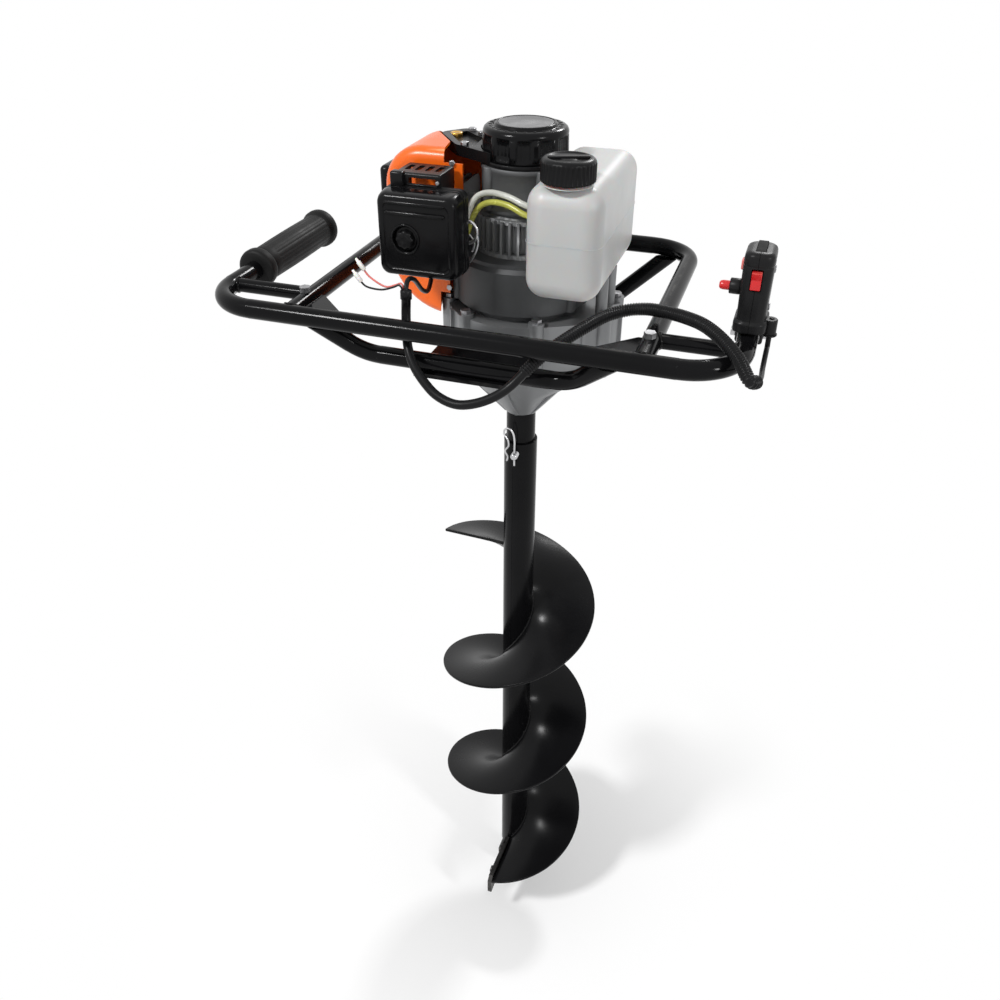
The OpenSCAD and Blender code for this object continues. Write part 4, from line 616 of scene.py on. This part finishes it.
print("stage: pin and clip")
pin = lathe("couplingPin", [(0.01, -28.2), (3.2, -28.2), (4.0, -27.2), (4.0, 19.6), (7.6, 19.7), (8.0, 20.2),
                            (8.0, 23.0), (7.4, 23.6), (0.01, 23.6)], steel, at=(0, 0, 788), axis="y", around=48, body="bit")
clipRoute = smoothRoute([(0, -24.15, 775), (0, -24.15, 783), (0, -24.15, 796), (0, -24.15, 808), (-2, -24.1, 818),
                         (-7, -24.1, 823), (-12, -24.1, 820), (-12, -24.1, 814), (-8, -24.1, 808), (-7, -24.1, 800),
                         (-11, -24.1, 793), (-8, -24.1, 786), (-9, -24.1, 780)])
clip = evenSweep("pinClip", clipRoute, 1.2, 1.1, steel, body="bit")
stand([pin, clip], "coupling_pin")

print("stage: frame welds")


def jointRing(name, centre, along1, along2, r1, r2, seed):
    u = Vector(along1).normalized()
    v = Vector(along2).normalized()
    w = u.cross(v)
    path = []  # the saddle line where a tube of r1 meets one of r2
    for i in range(37):
        t = 2 * math.pi * i / 36
        a, b = r1 * math.cos(t), r1 * math.sin(t)
        reach = math.sqrt(max(r2 * r2 - b * b, 0.0))
        path.append(Vector(centre) + u * (reach + 0.3) + v * a + w * b)
    return weldBead(name, path, 1.5, paint, seed, 2.2)


rail = {"r": 9.0, "hoop": 8.8, "brace": 6.8, "cross": 162, "left": -250, "right": 240, "front": -200, "braceY": -150}
for i, way in enumerate((-1, 1)):
    x = way * rail["cross"]
    jointRing("braceWeld%dA" % i, (x, rail["braceY"], zFrame), (way, 0, 0), (0, 1, 0), rail["brace"], rail["hoop"], 20 + i)
    jointRing("railWeld%d" % i, (x, rail["front"], zFrame), (0, 1, 0), (1, 0, 0), rail["hoop"], rail["r"], 30 + i)
for tag, way, seed in (("left", 1, 41), ("right", -1, 42)):
    jointRing("braceWeld" + tag[0].upper() + "B", (rail[tag], rail["braceY"], zFrame), (way, 0, 0), (0, 1, 0),
              rail["brace"], rail["r"], seed)

print("stage: left grip")
grip = {"end": 37, "x": -250, "radius": 17.2, "swell": 0.75, "grooves": 22, "depth": 0.32}
gripEnd = grip["end"]
profile = [(0.01, gripEnd), (14, gripEnd), (18.6, gripEnd - 0.8), (20.2, gripEnd - 2.6), (20.5, gripEnd - 5), (20.4, gripEnd - 9),
           (19.2, gripEnd - 12.0), (17.6, gripEnd - 14.5)]
y = gripEnd - 14.5
while y > -84:
    y -= 1.0
    profile.append((grip["radius"] + grip["swell"] * math.sin(math.pi * (gripEnd - y) / 130), y))
profile += [(17.2, -86.5), (17.4, -91.0), (16.6, -93.5), (16.4, -95.0), (17.6, -96.4), (19.2, -97.6), (19.6, -99.4),
            (19.6, -104.5), (18.8, -107.4), (16.4, -108.8), (13, -109.0), (9.3, -109.0)]


def gripShape(a, r, h):
    if -84 < h < gripEnd - 16:
        return r - grip["depth"] * (0.5 + 0.5 * math.cos(a * grip["grooves"])) ** 3
    return r


gripPiece = lathe("leftGrip", profile, gripRubber, at=(grip["x"], 0, zFrame), axis="y", around=176, shape=gripShape)
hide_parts("left_grip")

print("stage: starter")
starter = {"lobes": 12, "dimples": 24, "dimpleRing": 34.4, "insert": (-84, 34, 0),
           "bolts": ((-58, -13), (-90, 27), (-56, 33), (-71, 46))}


def starterShape(a, r, h):
    if r > 37 and 1117 < h < 1136:
        wave = math.cos(a * starter["lobes"])
        return r + (1.4 if wave > 0.55 else 0.0) - (0.5 if wave < -0.6 else 0)
    return r


cover = lathe("starterCover", [
    (36.0, 1114.3), (41.4, 1114.3), (41.7, 1115.0), (41.7, 1117.0), (41.0, 1117.6), (41.0, 1122), (40.8, 1130),
    (40.6, 1135.4), (41.2, 1136), (41.4, 1137.4), (41.2, 1139), (40.2, 1141.2), (38.4, 1142.6), (36.0, 1143.1),
    (33.2, 1143.0), (32.4, 1142.5), (31.4, 1142.5), (30.6, 1143.2), (29.9, 1144.8), (29.0, 1145.6), (28.0, 1145.7),
    (27.4, 1145.2), (27.2, 1144.9), (14, 1144.9), (0.01, 1144.95)], mouldedGloss, around=192, shape=starterShape)
disc = lathe("starterDisc", [(0.01, 1144.9), (26.6, 1144.9), (26.8, 1145.15), (26.4, 1145.4), (24.6, 1145.4), (24.2, 1145.25),
                             (0.01, 1145.25)], bareDisc, around=128)
for i in range(starter["dimples"]):
    a = 2 * math.pi * i / starter["dimples"]
    lathe("starterDimple%02d" % i, [(0.01, 1142.9), (1.7, 1142.9), (1.9, 1143.3), (1.2, 1143.5), (0.01, 1143.5)],
          mouldedGloss, at=(starter["dimpleRing"] * math.cos(a), starter["dimpleRing"] * math.sin(a), 0), around=16)
stand([cover, disc], "starter_cover")

wingOutline = roundOutline([(-100, 32, 9), (-68, -12, 12), (-24, -37, 16), (30, -31, 10), (42, 0, 18), (28, 34, 14),
                            (-30, 32, 8), (-58, 41, 10), (-78, 58, 9)])
wing = slab("starterBracket", wingOutline, 1112.2, 1122.5, moulded)
wing.modifiers.clear()
cut(wing, rod((0, 0, 0), "z", 43.3, 1105, 1160, 96))
cut(wing, rod(starter["insert"], "z", 3.5, 1105, 1160, 32))
cut(wing, slab("cutter", [(-88, 28), (-66, -5), (-48, -14), (-50, 20), (-62, 30), (-76, 44)], 1118.8, 1140))
soften(wing, 1.3, 3, 40)
plate = lathe("starterPlate", [(19.2, 1110.1), (43.2, 1110.1), (43.6, 1110.6), (43.6, 1113.4), (43.2, 1113.9),
                               (19.2, 1113.9)], moulded, around=128)
stand([wing, plate], "starter_bracket")
for i, (x, y) in enumerate(starter["bolts"]):
    screwHead("wingBolt%d" % i, (x, y, 1118.8 if i == 1 else 1122.4), "z", 4.2, 3.4)  # the second sits in the pocket
lathe("wingInsert", [(3.5, 1117.2), (6.2, 1117.2), (6.4, 1117.6), (6.4, 1122.2), (6.0, 1122.9), (3.9, 1122.9),
                     (3.5, 1122.5)], brass, at=starter["insert"], around=48)

print("stage: fuel tank")
tankLo, tankHi = (28.5, -103, 1008.5), (100.5, 69, 1114.5)
tankPiece = roundedBox("tankShell", tankLo, tankHi, 19, tank, segments=10)
cut(tankPiece, rod((0, 0, 0), "z", 53.4, 1026, 1300, 160))  # room for the crankcase, then for the fan housing
cut(tankPiece, rod((0, 0, 0), "z", 77.4, 960, 1030, 160))
smooth(tankPiece)
bevel(tankPiece, 4, 4, 40)
settle(tankPiece)
tankPiece.modifiers.new("normals", "WEIGHTED_NORMAL")
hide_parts("fuel_tank")
neckX, neckY = 64.5, -83
neckAt = (neckX, neckY, 0)
capForm = {"ribs": 36, "depth": 1.15, "bar": (19, 3.4)}
lathe("tankNeck", [(13.2, 1113), (13.2, 1124.4), (15.8, 1124.4), (16.0, 1123.6), (15.3, 1122.4), (16.0, 1121.2),
                   (15.3, 1119.8), (16.0, 1118.4), (15.5, 1117), (17.5, 1115.6), (22, 1114.6), (23, 1114.0),
                   (13.2, 1113.2)], tank, at=neckAt)
seam = [(x, y, 15) for x, y in ((tankLo[0], tankLo[1]), (tankHi[0], tankLo[1]), (tankHi[0], tankHi[1]), (tankLo[0], tankHi[1]))]
seamLine = [Vector((x, y, 1063)) for x, y in roundOutline(seam, 10)]
seamPath = [p for p in seamLine if (p.x ** 2 + p.y ** 2) ** 0.5 > 58]
startAt = max(range(len(seamPath)), key=lambda i: (seamPath[i] - seamPath[i - 1]).length)
seamPath = seamPath[startAt:] + seamPath[:startAt]
evenSweep("tankSeam", seamPath, 3, 0.25, tank, sides=8)

print("stage: fuel cap")


def capShape(a, r, h):
    if 1117.5 < h < 1133.5 and r > 20:
        return r - capForm["depth"] * (0.5 - 0.5 * math.cos(a * capForm["ribs"])) ** 0.7
    return r


capPiece = lathe("fuelCap", [
    (16.35, 1116.8), (23.4, 1116.8), (24.6, 1117.4), (24.9, 1118.4), (24.9, 1132.6), (24.5, 1134.2), (23.6, 1135.6),
    (22.2, 1136.7), (20.6, 1137.3), (19.2, 1137.4), (18.4, 1136.9), (17.6, 1136.3), (9, 1136.1), (8.2, 1136.6),
    (0.01, 1136.7)], moulded, at=neckAt, body="cap", around=216, shape=capShape)
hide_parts("fuel_cap")
slab("fuelCapBar", roundRect(*capForm["bar"], 3, 5), 1135.5, 1138.4, moulded, body="cap", width=0.9,
     turn=lambda x, y, z: (neckX + x * 0.94 - y * 0.34, neckY + x * 0.34 + y * 0.94, z))

print("stage: air box")
box = {"x": -71.5, "z": 1059.5, "taller": 9, "ridges": (1090.4, 1081.0), "slots": (-97, -87, -77, -67)}
knobAt = (-83, 0, 1057)


def dished(name, layers, finish):
    verts = []
    for w, h, r, depth in layers:
        ring = roundRect(w / 2, (h + box["taller"]) / 2, r)
        verts += [(box["x"] + x, depth, box["z"] + z) for x, z in ring]
    return addPiece(name, verts, ringFaces(len(layers), len(ring)), finish)


airCover = dished("airCover", [
    (76, 66, 6, -87.2), (80.6, 70.6, 8, -86.6), (81, 71, 8, -87.6), (81, 71, 8, -90.0), (79.6, 69.6, 8, -90.4),
    (79.6, 69.6, 8, -91.2), (80.4, 70.4, 8, -91.8), (79.8, 69.8, 8.5, -100), (79.0, 69.0, 9, -104.4),
    (77.2, 67.2, 9, -107.6), (74.4, 64.4, 8.5, -109.4), (70.5, 60.5, 8, -110.1), (66, 56, 7.5, -110.2),
    (64.6, 54.6, 7, -109.8), (63.4, 53.4, 6.6, -109.0), (60, 50, 6, -108.9)], mouldedGloss)
cut(airCover, rod(knobAt, "y", 13.2, -130, -105.4, 72))
airCover.modifiers.new("normals", "WEIGHTED_NORMAL")
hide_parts("filter_cover")
for i, z in enumerate(box["ridges"]):
    route = [Vector((x, -109.5, z)) for x in range(-103, -40, 3)]
    reach = measure(route)[-1]
    sweep("coverRidge%d" % i, route, [(0, 0.5), (1, 1.4), (3, 1.9), (reach - 3, 1.9), (reach - 1, 1.4),
                                      (reach, 0.5)], mouldedGloss, sides=14)
lathe("recessRim", [(12.2, -106.0), (12.2, -109.6), (12.7, -110.4), (13.4, -110.6), (14.2, -110.2), (14.5, -109.2),
                    (14.3, -107.8), (12.6, -106.0)], mouldedGloss, at=knobAt, axis="y")


def knobShape(a, r, h):
    return r * (1 + 0.07 * math.cos(a * 8)) if r > 7.5 else r


knob = lathe("filterKnob", [(3, -81.5), (3.0, -104.8), (11.4, -104.9), (11.6, -106.4), (8.2, -106.6), (8.4, -110.4),
                            (7.8, -112.2), (6.4, -113.0), (2.4, -112.7),
                            (0.01, -112.6)], moulded, at=knobAt, axis="y", body="knob", shape=knobShape)
washer = lathe("knobWasher", [(8.9, -106.5), (11.3, -106.5), (11.5, -106.9), (11.2, -107.4), (9.0, -107.4)],
               mouldedGloss, at=knobAt, axis="y", body="knob", around=64)
stand([knob, washer], "filter_knob")

print("stage: hood and base of the air box")
basePlate = dished("boxBase", [
    (80.6, 70.6, 7.5, -78.0), (81, 71, 8, -78.6), (81, 71, 8, -84.6), (80.2, 70.2, 7.6, -85.2), (79.4, 69.4, 7.4, -85.3),
    (79.4, 69.4, 7.4, -86.4), (70, 60, 6, -86.4)], moulded)
basePlate.modifiers.new("normals", "WEIGHTED_NORMAL")
hood = roundedBox("boxHood", (-103, -83.8, 1088), (-56, -46, 1111), 2.6, moulded, segments=4)
cut(hood, block((-100.8, -81.6, 1060), (-58.2, -40, 1108.6)))
cut(hood, block((-88, -90, 1101.4), (-61, -80, 1106.8)))
for x in box["slots"]:
    cut(hood, roundedBox("cutter", (x, -72, 1100), (x + 5.6, -55, 1120), 2.2, segments=3))
soften(hood, 0.6, 2, 40)
stand([basePlate, hood], "filter_base")
route = [Vector((-90 + i * 1.6, -84.0, 1100.6)) for i in range(20)]
reach = measure(route)[-1]
sweep("hoodLip", route, [(0, 0.5), (1.2, 1.1), (reach - 1.2, 1.1), (reach, 0.5)], moulded)
roundedBox("hoodLatch", (-105, -89, 1098), (-92, -79, 1112.5), 2.4, moulded, segments=4)
screwHead("hoodScrewA", (-58.8, -84.0, 1104), "y", 2.0, 1.6, flip=-1)

print("stage: cylinder cover")
shell = {"top": 1124, "bottom": 955.2, "bows": ((90, -94, 1084, 40), (180, -68, 1021.2, 66)), "half": 42, "edge": 11, "wall": 2.4}


def coverRing(t, d, right):
    inset = t + d
    ring = [(right, shell["top"] - inset)]
    for start, x, z, r in shell["bows"]:
        for k in range(13):
            a = math.radians(start + 90 * k / 12)
            ring.append((x + (r - inset) * math.cos(a), z + (r - inset) * math.sin(a)))
    ring.append((right, shell["bottom"] + inset))
    return ring


def coverSolid(name, t, right, finish=None):
    edge, half = shell["edge"] - t, shell["half"] - t
    steps = [math.radians(90 - 11.25 * k) for k in range(9)]
    levels = [(-(half - edge + edge * math.sin(a)), edge * (1 - math.cos(a))) for a in steps]
    levels += [(-y, d) for y, d in reversed(levels)]
    verts = [(x, y, z) for y, d in levels for x, z in coverRing(t, d, right)]
    return solid(name, verts, ringFaces(len(levels), 28), finish)


shroud = coverSolid("orangeCover", 0, -50, orange)
cut(shroud, coverSolid("cutter", shell["wall"], -40))
cut(shroud, rod((0, 0, 0), "z", 78, 900, 1030.2, 128))  # fan housing, gearbox, ports and plug, bracket
cut(shroud, rod((0, 0, 0), "z", 87, 900, 982, 128))
cut(shroud, rod((-64, 0, 1048), "y", 14, -60, 60, 64))
cut(shroud, rod((-150, 0, 1048), "x", 16, -20, 90, 64))
nearWing = roundOutline([(-104, 33, 9), (-74, -10, 8), (-66, -60, 2), (-10, -60, 2), (-10, 70, 2), (-78, 70, 6)])
cut(shroud, slab("cutter", nearWing, 1111.6, 1150))
soften(shroud, 0.5, 2, 32)
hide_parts("cylinder_cover")
for i, (x, y, z) in enumerate(((-60, -42.2, 1112), (-60, 42.2, 1112), (-66, -42.2, 988), (-66, 42.2, 988))):
    screwHead("coverScrew%d" % i, (x, y, z), "y", 3.2, 2.0, flip=-1 if y < 0 else 1)

print("stage: throttle handle")
handle = {"x": 240, "gap": 0.3, "screws": (1037, 1070)}
handX = handle["x"]
buttonAt = (handX, handY, 1055)
handleLayers = [  # height, half width, half depth, corner radius
    (1022.0, 13.0, 19.4, 7.6), (1022.4, 13.7, 20.1, 8.4), (1023.6, 14.0, 20.5, 9.0), (1029.2, 14.0, 20.5, 9.0),
    (1030.4, 13.7, 20.2, 8.8), (1031.4, 12.9, 19.4, 8.6), (1032.4, 12.2, 18.7, 8.4), (1038, 12.0, 18.6, 8.4),
    (1050, 12.2, 18.9, 8.6), (1064, 12.4, 19.0, 8.8), (1074, 12.5, 19.0, 9.0), (1077.4, 12.5, 19.0, 9.0),
    (1078.2, 12.1, 18.6, 8.8), (1079.2, 12.1, 18.6, 8.8), (1080.0, 12.5, 19.0, 9.0), (1084, 12.5, 19.0, 9.0),
    (1086.6, 12.2, 18.7, 8.8), (1088.4, 11.3, 17.8, 8.2), (1089.5, 9.6, 16.1, 7.0), (1090.0, 7.2, 13.7, 5.4)]
verts = [(handX + x, handY + y, z) for z, halfX, halfY, r in handleLayers for x, y in roundRect(halfX, halfY, r)]
handleBody = addPiece("handleHelper", verts, ringFaces(len(handleLayers), len(verts) // len(handleLayers)), handlePlastic)
cut(handleBody, block((234.7, -112, 1034), (245.3, -90, 1084)))
cut(handleBody, roundedBox("cutter", (235.2, -160, 1059), (244.8, -131, 1077.4), 1.0, segments=2))
cut(handleBody, rod(buttonAt, "x", 4.3, -30, 0, 48))
cut(handleBody, block((235.7, -137.3, 1080), (244.3, -111.2, 1110)))
cut(handleBody, rod((handX, handY, 0), "z", 9.1, 1000, 1049, 64))
cut(handleBody, roundedBox("lug", (228.2, -119, 1002.2), (251.8, -105, 1023.5), 2.4, segments=3), "UNION")
gland = rod((256, glandY, 0), "z", 6.2, 1018.2, 1031.5, 48)
bevel(gland, 1.2, 3, 30)
settle(gland)
cut(handleBody, gland, "UNION")
cut(handleBody, rod((glandX, glandY, 0), "z", 2.4, 1010, 1030, 32))
cut(handleBody, rod((handX, 0, zFrame), "y", 9.3, -151, -100, 64))
for tag, low, high, node in (("handleShellLeft", 200, handX - handle["gap"] / 2, "handle_shell"),
                             ("handleShellRight", handX + handle["gap"] / 2, 280, "handle_cover")):
    half = handleBody.copy()
    half.data = handleBody.data.copy()
    half.name = tag
    bpy.context.scene.collection.objects.link(half)
    cut(half, block((low, -200, 980), (high, -60, 1120)), "INTERSECT")
    soften(half, 0.35, 2, 38)
    half.data.materials.clear()
    half.data.materials.append(handlePlastic.mat)
    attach(half, root)
    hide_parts(node)
bpy.data.objects.remove(handleBody)
lathe("cableFerrule", [(2.35, 1016.6), (5.6, 1016.6), (6.2, 1017.2), (6.2, 1018.4), (2.35, 1018.4)], loomPlastic,
      at=(glandX, glandY, 0), around=32)
front, back = (corner.y * 1000 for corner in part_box("stop_switch"))
rockerSide = [(front, 1075.4), (front + 2.8, 1068.4), (front + 0.9, 1060.8), (back, 1060.8), (back, 1075.4)]
rocker = slab("stopRocker", rockerSide, 235.9, 244.1, red, body="stop_rocker", turn=lambda x, y, z: (z, x, y), width=0.6)
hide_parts("stop_switch")
button = lathe("lockButtonTip", [(0.01, -30.2), (2.0, -30.2), (3.1, -29.6), (3.7, -28.4), (4.0, -26.4), (4.0, -22.0),
                                 (3.9, -12.7), (3.9, -5.0),
                                 (0.01, -5.0)], red, at=buttonAt, axis="x", around=40, body="lock_button")
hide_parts("lock_button")
lathe("lockButtonSleeve", [(4.15, -21.6), (6.0, -21.6), (6.6, -21.0), (6.7, -13.6), (6.4, -12.4), (4.15, -12.4)],
      handlePlastic, at=buttonAt, axis="x", around=48)
roundedBox("sideCatch", (225.6, -131.5, 1071.5), (228.2, -123.0, 1080.0), 1.1, wirePink, segments=3)
for i, z in enumerate(handle["screws"]):
    lathe("handleScrew%d" % i, [(0.01, 12.0), (3.2, 12.0), (3.2, 12.9), (2.8, 13.3), (1.5, 13.4), (1.4, 12.6),
                                 (0.01, 12.6)], boltSteel, at=(handX, -116, z), axis="x", around=32)

print("stage: soft edges of the solids")
for width, segments, angle, names in (  # the angle from which an edge is rounded
        (0.3, 1, 50, "handlebar_tube rear_hoop front_bow rear_bow"),
        (0.15, 2, 40, "layshaft"), (0.25, 2, 40, "output_shaft"), (0.45, 2, 40, "gearbox_bolts"),
        (0.4, 2, 40, "side_braces frame_bolts clamp_bolt flywheel_fan clutch_drum crankshaft bearings starter_pulley"),
        (0.5, 2, 40, "clutch_shoes muffler_guard"), (0.6, 2, 40, "auger_tube ignition_coil"),
        (0.8, 2, 40, "gusset_plates rubber_mounts"), (0.9, 2, 40, "mount_brackets starter_grip"),
        (0.4, 2, 35, "spark_plug"), (0.5, 2, 35, "cutting_blade"), (0.6, 2, 35, "engine_block choke_lever"),
        (0.7, 2, 35, "carburettor"), (1.2, 3, 35, "gearbox_cover"), (1.3, 3, 35, "gearbox_case"),
        (1.4, 3, 35, "muffler"), (1.6, 3, 35, "fan_housing"), (0.5, 2, 30, "drill_point"), (0.7, 2, 30, "crankcase"),
        (1.0, 2, 30, "primer_bulb"), (0.8, 3, 30, "lockout_lever"), (1.1, 3, 30, "throttle_trigger")):
    for name in names.split():
        soften(nodes[name], width, segments, angle, weld=True)

print("stage: plug boot")
shield = roundedBox("plugShield", (-147.4, -22, 1055), (-134.8, 22, 1098), 5.5, moulded, segments=5)
for i in range(3):
    cut(shield, roundedBox("cutter", (-150, -15 + i * 11, 1062), (-146.2, -9 + i * 11, 1091), 1.2, segments=2))
soften(shield, 0.4, 2, 40)
boot = lathe("plugBoot", [(4.8, -137), (9.4, -137), (10, -136.2), (10, -133), (11.2, -132.4), (11.2, -130.4), (10, -129.8),
                          (9.6, -126.4), (8.8, -125.6), (4.8, -125.6)], moulded, at=(0, 0, 1060), axis="x", around=64)
stand([shield, boot], "plug_cap")

print("stage: upper crankcase")
upperShell = [(35, 1067.2), (43.2, 1067.2), (44.2, 1068.2), (44.2, 1071.4), (42.6, 1072.6), (42.4, 1104.0), (43.6, 1105.2),
              (43.8, 1109.0), (43.2, 1109.7), (35, 1109.7)]
# the upper crankcase takes the darker copy of the crankcase alloy, which is painted shade
lathe("upperCrankcase", upperShell, shadedCrankcaseAlloy, around=128)
bosses = {"degrees": (-128, -52, 52, 128), "ring": 42.5}
for i, a in enumerate(map(math.radians, bosses["degrees"])):
    lathe("upperBoss%d" % i, [(0.01, 1069), (5.2, 1069), (5.6, 1069.8), (5.2, 1108.8), (4.8, 1109.6), (0.01, 1109.6)],
          shadedCrankcaseAlloy, at=(bosses["ring"] * math.cos(a), bosses["ring"] * math.sin(a), 0), around=40)

print("stage: intake linkage")
for name, points, radius in (  # bent wire and rod beside the carburettor
        ("throttleArm", [(-46, -71, 1050), (-41, -72, 1062), (-32, -73, 1068), (-25, -73, 1062), (-26, -73, 1052),
                         (-34, -72, 1047), (-44, -71, 1047)], 1.7),
        ("throttleRod", [(-25, -73, 1060), (-24, -73, 1048), (-28, -73, 1036), (-35, -72, 1026), (-40, -72, 1022)], 1.3),
        ("idleArm", [(-46, -54, 1050), (-40, -52, 1048), (-35, -52, 1040), (-37, -53, 1032)], 1.2)):
    evenSweep(name, smoothRoute(points), 1.2, radius, steel, sides=10)
coil = {"x": -44.5, "y": -70, "z": 1038, "r": 2.6, "steps": 16, "turns": 6, "rise": 0.15}
spring = []
for i in range(coil["steps"] * coil["turns"] + 1):
    a = 2 * math.pi * i / coil["steps"]
    spring.append(Vector((coil["x"] + coil["r"] * math.cos(a), coil["y"] + coil["r"] * math.sin(a), coil["z"] + i * coil["rise"])))
evenSweep("idleSpring", spring, 1.0, 0.45, steel, sides=8)
lathe("idleScrew", [(0.01, 1035), (1.6, 1035), (1.6, 1054), (3.0, 1054.2), (3.1, 1056), (2.6, 1056.6), (0.01, 1056.6)],
      boltSteel, at=(coil["x"], coil["y"], 0), around=24)
linkPlate = roundedBox("linkPlate", (-47.5, -72.6, 1036), (-36, -70.4, 1058), 0.7, steel, segments=2)
cut(linkPlate, rod((-40.5, 0, 1050), "y", 2.2, -80, -60, 32))
for i, (x, z) in enumerate(((-79.5, 1033), (-48.5, 1033), (-79.5, 1063), (-48.5, 1063))):
    screwHead("carbScrew%d" % i, (x, -72.9, z), "y", 2.4, 1.8)

print("stage: soft pieces inside")
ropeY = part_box("starter_rope")[1].y * 1000


def braid(a, r, h):
    return r + 0.09 * math.sin(4 * a + h * 1.4) * math.sin(4 * a - h * 1.4)


rings = [(1.5, k * 0.4) for k in range(int(ropeY / 0.4))] + [(1.5, ropeY)]
ropePiece = lathe("starterCord", rings, rope, (-26, 0, 1120), "y", 24, None, braid)
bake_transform(ropePiece)
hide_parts("starter_rope")

sealLo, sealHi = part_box("cap_seal")
sealMid = (sealLo + sealHi) * 500
sealR, sealTall = (sealHi.x - sealLo.x) * 500, (sealHi.z - sealLo.z) * 500
rim = [(4, 0.3), (3.7, 0), (2.6, 0.25), (1.4, 0.25), (0.3, 0), (0, 0.3)]  # in from the edge, in from the face
section = [(sealR - a, b - sealTall) for a, b in rim] + [(sealR - a, sealTall - b) for a, b in reversed(rim)]
sealPiece = lathe("capSealRing", section, gripRubber, at=sealMid, around=72, body="seal", closeRings=True)
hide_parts("cap_seal")

foamLo, foamHi = (tuple(c * 1000 for c in corner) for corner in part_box("filter_element"))
foamPiece = roundedBox("filterFoam", foamLo, foamHi, 4, foam, segments=4)
cut(foamPiece, rod((-83, 0, 1057), "y", 5, -200, 0, 48))
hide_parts("filter_element")

print("stage: stage and light")
floorMesh = bpy.data.meshes.new("floorMesh")
floorMesh.from_pydata([(-60, -60, -0.0005), (60, -60, -0.0005), (60, 60, -0.0005), (-60, 60, -0.0005)], [], [(0, 1, 2, 3)])
floor = show("floor", floorMesh)
light = {"floorFrom": 0.12, "floorTo": 0.62, "world": 0.5,
         "lamps": (("key", (-1.3, -1.7, 2.9), 0.9, (0.4, 0.4), 56), ("fill", (2.2, -1.2, 1.9), 0.8, (0.26, 0.5), 18),
                   ("rim", (0.4, 2.2, 2.6), 0.9, (0.55, 0.3), 28))}  # name, place, height aimed at, size, watts


def seenRays(tree):  # 1 for camera, glossy and transmission rays
    rays = addNode(tree, "ShaderNodeLightPath")
    both = addNode(tree, "ShaderNodeMath", operation="ADD")
    every = addNode(tree, "ShaderNodeMath", operation="ADD", use_clamp=True)
    for a, b in ((rays.outputs["Is Camera Ray"], both.inputs[0]), (rays.outputs["Is Glossy Ray"], both.inputs[1]),
                 (both.outputs[0], every.inputs[0]), (rays.outputs["Is Transmission Ray"], every.inputs[1])):
        tree.links.new(a, b)
    return every.outputs[0]


floorFinish = bpy.data.materials.new("paleFloor")  # fades into the white world with the distance
floorFinish.use_nodes = True
tree = floorFinish.node_tree
floorBsdf = tree.nodes["Principled BSDF"]
for key, value in (("Base Color", (0.92, 0.92, 0.92, 1)), ("Roughness", 0.9), ("Specular IOR Level", 0.1)):
    floorBsdf.inputs[key].default_value = value
glow = addNode(tree, "ShaderNodeEmission", {"Strength": 1.0})
place = addNode(tree, "ShaderNodeNewGeometry")
away = addNode(tree, "ShaderNodeVectorMath", operation="LENGTH")
fade = addNode(tree, "ShaderNodeMapRange", {"From Min": light["floorFrom"], "From Max": light["floorTo"]},
               interpolation_type="SMOOTHSTEP")
share = addNode(tree, "ShaderNodeMath", operation="MULTIPLY")
mixed = addNode(tree, "ShaderNodeMixShader")
for a, b in ((place.outputs["Position"], away.inputs[0]), (away.outputs["Value"], fade.inputs["Value"]),
             (fade.outputs["Result"], share.inputs[0]), (seenRays(tree), share.inputs[1]), (share.outputs[0], mixed.inputs[0]),
             (floorBsdf.outputs[0], mixed.inputs[1]), (glow.outputs[0], mixed.inputs[2]),
             (mixed.outputs[0], tree.nodes["Material Output"].inputs["Surface"])):
    tree.links.new(a, b)
floorMesh.materials.append(floorFinish)

world = bpy.data.worlds.new("studio")
bpy.context.scene.world = world
world.use_nodes = True
tree = world.node_tree
sky = tree.nodes["Background"]
sky.inputs["Color"].default_value = (1, 1, 1, 1)
level = addNode(tree, "ShaderNodeMapRange", {"To Min": light["world"], "To Max": 1.0})
tree.links.new(seenRays(tree), level.inputs["Value"])
tree.links.new(level.outputs["Result"], sky.inputs["Strength"])
bpy.context.scene.view_settings.view_transform = "Standard"
for name, at, aim, size, watts in light["lamps"]:
    lamp = bpy.data.lights.new(name, "AREA")
    lamp.shape = "RECTANGLE"
    lamp.size, lamp.size_y = size
    lamp.energy = watts
    way = Vector((0, 0, aim)) - Vector(at)
    show(name, lamp).matrix_world = Matrix.Translation(Vector(at)) @ way.to_track_quat("-Z", "Y").to_matrix().to_4x4()
